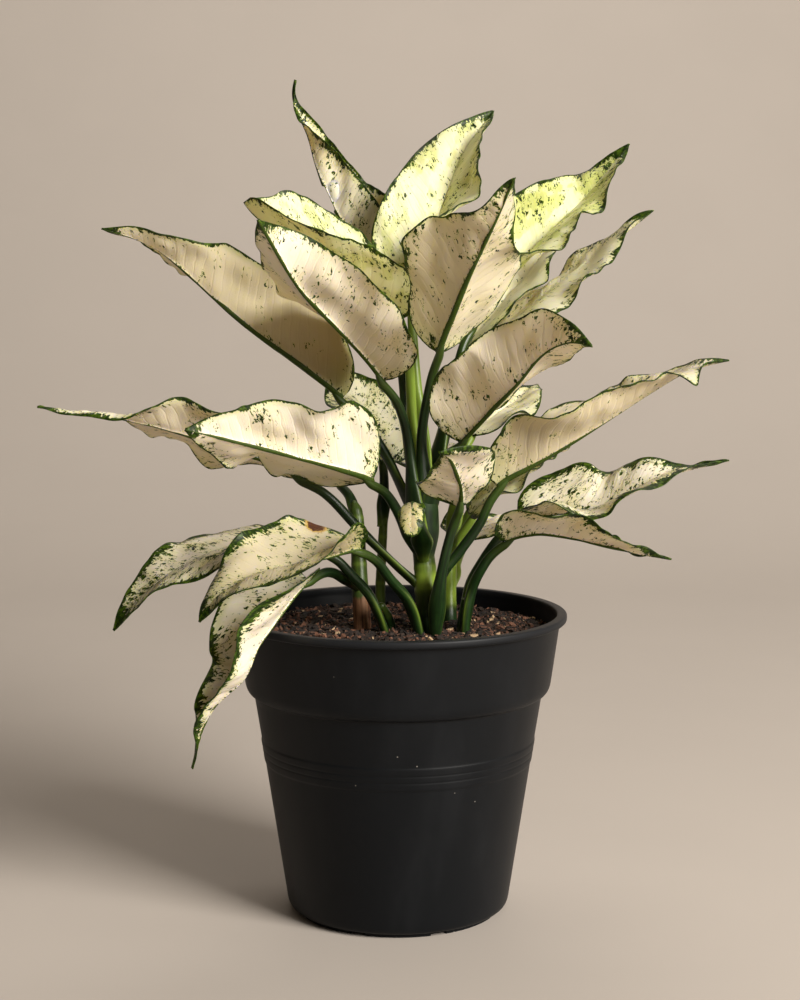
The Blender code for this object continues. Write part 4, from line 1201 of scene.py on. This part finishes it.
def cane_shell(stem, number):
    """A cane with a slight swelling at each leaf scar, a bell curve along it, and its foot in the soil."""
    curve, arc, _ = smooth_route(stem.route)
    at = np.linspace(0.0, arc[-1], CANE_ROWS)
    spine = along(curve, arc, at)
    foot = np.array([[spine[0, 0], spine[0, 1], FOOT_BOTTOM_Z]])
    spine = np.concatenate([foot, spine])
    at = np.concatenate([[-20.0], at])[:, None]
    across, up = path_frame(spine, np.array([1.0, 0.0, 0.0]))
    share = np.clip(at / arc[-1], 0.0, 1.0)
    ring = np.exp(-((at % LEAF_SCAR_RUN - LEAF_SCAR_RUN / 2) / 1.3)**2)
    radius = stem.foot_radius + (stem.top_radius - stem.foot_radius) * share
    radius = radius * (1 + 0.04 * ring)
    radius = radius * np.sqrt(np.clip((1.0 - share) * 12 + 0.02, 0.0, 1.0))
    angle = round_angles(CANE_SIDES)
    wide = radius * np.ones_like(angle)
    lime = stem.lime + ring * 0.2
    if stem.name == "stem_main":
        lime = lime + 0.9 * np.exp(-((spine[:, 2:] - NODE_Z) / 5.0)**2)
    bark = ease(at, 24.0, 4.0) * (1.0 if stem.name == "stem_left" else 0.0)
    lime = lime * ease(at, 2.0, 14.0)
    fibre = fibre_place(angle, stem.foot_radius, at, number + 50)
    return tube_shell(spine, across, up, wide, wide, {"fibre": fibre, "lime": lime, "bark": bark})


# Settings

def number_setting(name, description, default, **limits):
    return bpy.props.FloatProperty(name=name, description=description, default=default, **limits)


def length_setting(name, description, default):
    return number_setting(name, description, default, unit="LENGTH")


def power_setting(name, description, default):
    return number_setting(name, description, default, unit="POWER")


def factor_setting(name, description, default):
    return number_setting(name, description, default, min=0.0, max=1.0, subtype="FACTOR")


def colour_setting(name, description, default):
    return bpy.props.FloatVectorProperty(name=name, description=description, default=(*default, 1.0),
                                         size=4, min=0.0, max=1.0, subtype="COLOR")


class PotSettings(bpy.types.PropertyGroup):
    """Sizes and finish of the pot."""
    rim: length_setting("Rim", "Diameter outside the lip", POT_HIGH[0] - POT_LOW[0])
    height: length_setting("Height", "From the foot to the lip", POT_HIGH[2] - POT_LOW[2])
    colour: colour_setting("Plastic", "Colour of the plastic", (0.0034, 0.0042, 0.0053))
    # This colour also paints a highlight along the lip.
    rubbed: colour_setting("Rubbed", "Colour where the plastic is rubbed", (0.0125, 0.0135, 0.0155))
    roughness: factor_setting("Roughness", "How dull the plastic is", 0.46)
    sheen: factor_setting("Sheen", "Strength of its reflections", 0.15)
    dust: factor_setting("Dust", "How much the specks of dust show", 0.5)
    dust_colour: colour_setting("Dust colour", "Colour of the specks", (0.35, 0.32, 0.28))


class SoilSettings(bpy.types.PropertyGroup):
    """The soil's chips and colours."""
    seed: bpy.props.IntProperty(name="Seed", description="Start of the random draw", default=5)
    chips: bpy.props.IntProperty(name="Chips", description="Splinters and grains on the soil", default=5200)
    chip_size: length_setting("Chip", "Length of a middling chip", 0.0029)
    dark: colour_setting("Dark", "Damp peat", (0.005, 0.003, 0.0022))
    brown: colour_setting("Brown", "Drier crumbs", (0.034, 0.017, 0.010))
    russet: colour_setting("Russet", "Bark and fibre", (0.150, 0.066, 0.038))
    pale: colour_setting("Pale", "Pale grains", (0.42, 0.29, 0.17))


class StalkSettings(bpy.types.PropertyGroup):
    """Colours of canes and stalks."""
    green: colour_setting("Green", "Old stalks", (0.005, 0.014, 0.003))
    light_green: colour_setting("Light green", "Streaks on the stalks", (0.010, 0.030, 0.005))
    lime: colour_setting("Lime", "Young stalks and leaf scars", (0.30, 0.44, 0.05))
    bark: colour_setting("Bark", "Papery skin", (0.075, 0.026, 0.012))
    pale_bark: colour_setting("Pale bark", "Light streaks in the papery skin", (0.22, 0.11, 0.055))
    sheath: number_setting("Sheath", "How much wider a stalk is at its foot", 0.75, min=0.0, max=2.0)


class LeafSettings(bpy.types.PropertyGroup):
    """Sizes and colours of the blades."""
    thickness: length_setting("Thickness", "Thickness near the midrib", 0.0008)
    rib_width: length_setting("Rib width", "Width of the midrib at the stalk", 0.0018)
    rib_height: length_setting("Rib height", "How far the midrib stands out below", 0.0013)
    quilting: length_setting("Quilting", "Bulge between side veins", 0.00035)
    frill: length_setting("Frill", "Height of the fine ripple at the margin", 0.0030)
    rolling: number_setting("Rolling", "Strength of the soft dents", 1.5)
    vein_spacing: number_setting("Vein spacing", "Millimetres between side veins", 6.4)
    vein_slant: number_setting("Vein slant", "How far the veins lean to the tip", 0.62)
    glow: factor_setting("Glow", "Light that passes through the blade", 0.5)
    cream: colour_setting("Cream", "Upper side", (0.74, 0.68, 0.55))
    young_cream: colour_setting("Young cream", "Young leaves", (0.69, 0.70, 0.39))
    tan: colour_setting("Tan", "Underside", (0.77, 0.675, 0.53))
    young_tan: colour_setting("Young tan", "Underside of young leaves", (0.74, 0.76, 0.41))
    shade: colour_setting("Shade", "Darker patches", (0.66, 0.55, 0.29))
    # The colour of the painted shade that a leaf's tan mixes into its blade.
    painted_shade_colour: colour_setting("Dusk", "Blades of a deeper tan", (0.42, 0.36, 0.215))
    yellow: colour_setting("Yellow", "Patches on young leaves", (0.49, 0.54, 0.12))
    lime: colour_setting("Lime", "Round the flecks", (0.42, 0.50, 0.13))
    green: colour_setting("Green", "Margin and flecks", (0.008, 0.020, 0.0012))
    mid_green: colour_setting("Mid green", "Lighter flecks", (0.046, 0.088, 0.006))
    rib_green: colour_setting("Rib green", "Midrib underneath", (0.040, 0.068, 0.008))
    scar: colour_setting("Scar", "Middle of the brown spot", (0.075, 0.030, 0.016))
    scar_edge: colour_setting("Scar edge", "Ring round the brown spot", (0.46, 0.31, 0.09))


class StageSettings(bpy.types.PropertyGroup):
    """Floor and lights."""
    floor: colour_setting("Floor", "Floor and backdrop", (0.48, 0.43, 0.385))
    key: power_setting("Key", "Power of the main light", 120.0)
    front: power_setting("Front", "Power of the low light from the front", 6.0)
    wall: power_setting("Wall", "Power of the backdrop's light", 36.0)
    room: number_setting("Room", "Strength of the light from all round", 0.07)


# Operators

class AGLAONEMA_OT_pot(bpy.types.Operator):
    """Build the nursery pot"""
    bl_idname = "aglaonema.pot"
    bl_label = "Pot"

    def execute(self, context):
        settings = context.scene.aglaonema_pot
        shell = pot_shell(settings.rim / MM / 2, settings.height / MM)
        piece = new_piece("nursery_pot", shell, pot_paint(settings), ["pot"])
        drill(piece, DRAIN_CIRCLE, DRAIN_RADIUS, DRAIN_COUNT)
        return {"FINISHED"}


class AGLAONEMA_OT_soil(bpy.types.Operator):
    """Fill the pot with soil and scatter chips on it"""
    bl_idname = "aglaonema.soil"
    bl_label = "Soil"

    def execute(self, context):
        settings = context.scene.aglaonema_soil
        material = soil_paint(settings)
        new_piece("potting_soil", soil_shell(), material, ["soil"])
        chips = new_piece("soil_chips", chips_shell(settings), material, [])
        chips.data.shade_flat()
        return {"FINISHED"}


class AGLAONEMA_OT_stems(bpy.types.Operator):
    """Grow the canes and their stalks"""
    bl_idname = "aglaonema.stems"
    bl_label = "Stems"

    def execute(self, context):
        settings = context.scene.aglaonema_stalks
        material = stalk_paint(settings)
        for index, stem in enumerate(STEMS):
            shells = [cane_shell(stem, index)]
            for number, leaf in enumerate(LEAVES):
                if leaf.stem == stem.name:
                    shells.append(stalk_shell(leaf, number, settings))
            name = stem.name.replace("stem", "cane")
            new_piece(name, join_shells(shells), material, [stem.name])
        return {"FINISHED"}


class AGLAONEMA_OT_leaves(bpy.types.Operator):
    """Grow a blade on each stalk"""
    bl_idname = "aglaonema.leaves"
    bl_label = "Leaves"

    def execute(self, context):
        settings = context.scene.aglaonema_leaves
        material = leaf_paint(settings)
        for number, leaf in enumerate(LEAVES):
            name = leaf.name.replace("leaf", "blade")
            new_piece(name, blade_shell(leaf, number, settings), material, [leaf.name])
        return {"FINISHED"}


class AGLAONEMA_OT_stage(bpy.types.Operator):
    """Set up the floor, the lights and the camera"""
    bl_idname = "aglaonema.stage"
    bl_label = "Stage"

    def execute(self, context):
        settings = context.scene.aglaonema_stage
        build_backdrop(settings)
        for name, place, target, size in LAMPS:
            add_light(name + "_light", getattr(settings, name), place, target, size)
        world = bpy.data.worlds.new("room")
        world.use_nodes = True
        background = world.node_tree.nodes["Background"]
        background.inputs["Color"].default_value = ROOM_COLOUR
        background.inputs["Strength"].default_value = settings.room
        context.scene.world = world
        context.scene.view_settings.view_transform = "Standard"
        add_camera()
        return {"FINISHED"}


def floor_paint(settings):
    """Pale matt paper with a faint mottle and a fine tooth."""
    paint = Paint("floor", {"Roughness": 0.9})
    mottle = paint.noise(paint.place(), (6.0, 6.0, 6.0), 3.0)
    tooth = paint.noise(paint.place(), (500.0, 500.0, 500.0), 2.0)
    dim = tuple(channel * 0.985 for channel in settings.floor[:3]) + (1.0,)
    colour = paint.mix(paint.ramp(mottle, 0.35, 0.65), settings.floor, dim)
    return paint.finished({"Base Color": colour, "Normal": paint.bump(tooth, 0.08, 0.0005)})


def build_backdrop(settings):
    """A seamless sweep: a flat floor that curves up behind the plant into a wall, as a quarter circle."""
    bend = np.linspace(0.0, pi / 2, 24)
    y = np.concatenate([[-SWEEP_REACH, -1500.0, -500.0, 0.0], SWEEP_START_Y + SWEEP_RADIUS * np.sin(bend),
                        [SWEEP_START_Y + SWEEP_RADIUS]])[:, None]
    z = np.concatenate([np.zeros(4), SWEEP_RADIUS * (1 - np.cos(bend)), [SWEEP_TOP_Z]])[:, None]
    x = np.linspace(-SWEEP_REACH, SWEEP_REACH, 15)
    points = together(x, y, z)
    rows, columns = points.shape[:2]
    corner = (np.arange(rows - 1)[:, None] * columns + np.arange(columns - 1)).ravel()
    faces = np.stack([corner, corner + 1, corner + columns + 1, corner + columns], axis=-1).tolist()
    floor = add_object("floor", new_mesh("floor", points, faces, floor_paint(settings)))


def add_light(name, power, place, target, size):
    """A soft square light that shines from a place towards a target."""
    light = bpy.data.lights.new(name, "AREA")
    light.energy = power
    light.color = LAMP_COLOUR
    light.size = size
    lamp = add_object(name, light)
    lamp.location = place
    lamp.rotation_euler = (Vector(target) - Vector(place)).to_track_quat("-Z", "Y").to_euler()


def add_camera():
    """The reference picture's camera: a metre away, above the plant's middle and looking slightly down."""
    lens = bpy.data.cameras.new("camera")
    lens.sensor_fit = "VERTICAL"
    lens.sensor_height = CAMERA_SENSOR
    lens.lens = CAMERA_LENS
    camera = add_object("camera", lens)
    camera.location = CAMERA_PLACE
    camera.rotation_euler = (radians(90.0 - CAMERA_TILT), 0.0, 0.0)
    bpy.context.scene.camera = camera


class AGLAONEMA_PT_panel(bpy.types.Panel):
    """The plant's pieces and settings"""
    bl_idname = "AGLAONEMA_PT_panel"
    bl_label = "Potted aglaonema"
    bl_space_type = "VIEW_3D"
    bl_region_type = "UI"
    bl_category = "Aglaonema"

    def draw(self, context):
        for operator, group in STEPS:
            box = self.layout.box()
            box.operator(operator.bl_idname)
            settings = getattr(context.scene, group)
            for name in settings.__class__.__annotations__:
                box.prop(settings, name)


STEPS = (
    (AGLAONEMA_OT_pot, "aglaonema_pot"),
    (AGLAONEMA_OT_soil, "aglaonema_soil"),
    (AGLAONEMA_OT_stems, "aglaonema_stalks"),
    (AGLAONEMA_OT_leaves, "aglaonema_leaves"),
    (AGLAONEMA_OT_stage, "aglaonema_stage"),
)
SETTINGS = {
    "aglaonema_pot": PotSettings,
    "aglaonema_soil": SoilSettings,
    "aglaonema_stalks": StalkSettings,
    "aglaonema_leaves": LeafSettings,
    "aglaonema_stage": StageSettings,
}


def register():
    """Adds the settings, the operators and the panel to Blender."""
    for name, group in SETTINGS.items():
        bpy.utils.register_class(group)
        setattr(bpy.types.Scene, name, bpy.props.PointerProperty(type=group))
    for operator, _ in STEPS:
        bpy.utils.register_class(operator)
    bpy.utils.register_class(AGLAONEMA_PT_panel)


def unregister():
    """Takes them out again."""
    bpy.utils.unregister_class(AGLAONEMA_PT_panel)
    for operator, _ in reversed(STEPS):
        bpy.utils.unregister_class(operator)
    for name, group in reversed(SETTINGS.items()):
        delattr(bpy.types.Scene, name)
        bpy.utils.unregister_class(group)


def main():
    """Builds every piece in order."""
    register()
    for operator, _ in STEPS:
        family, action = operator.bl_idname.split(".")
        getattr(getattr(bpy.ops, family), action)()


if __name__ == "__main__":
    main()
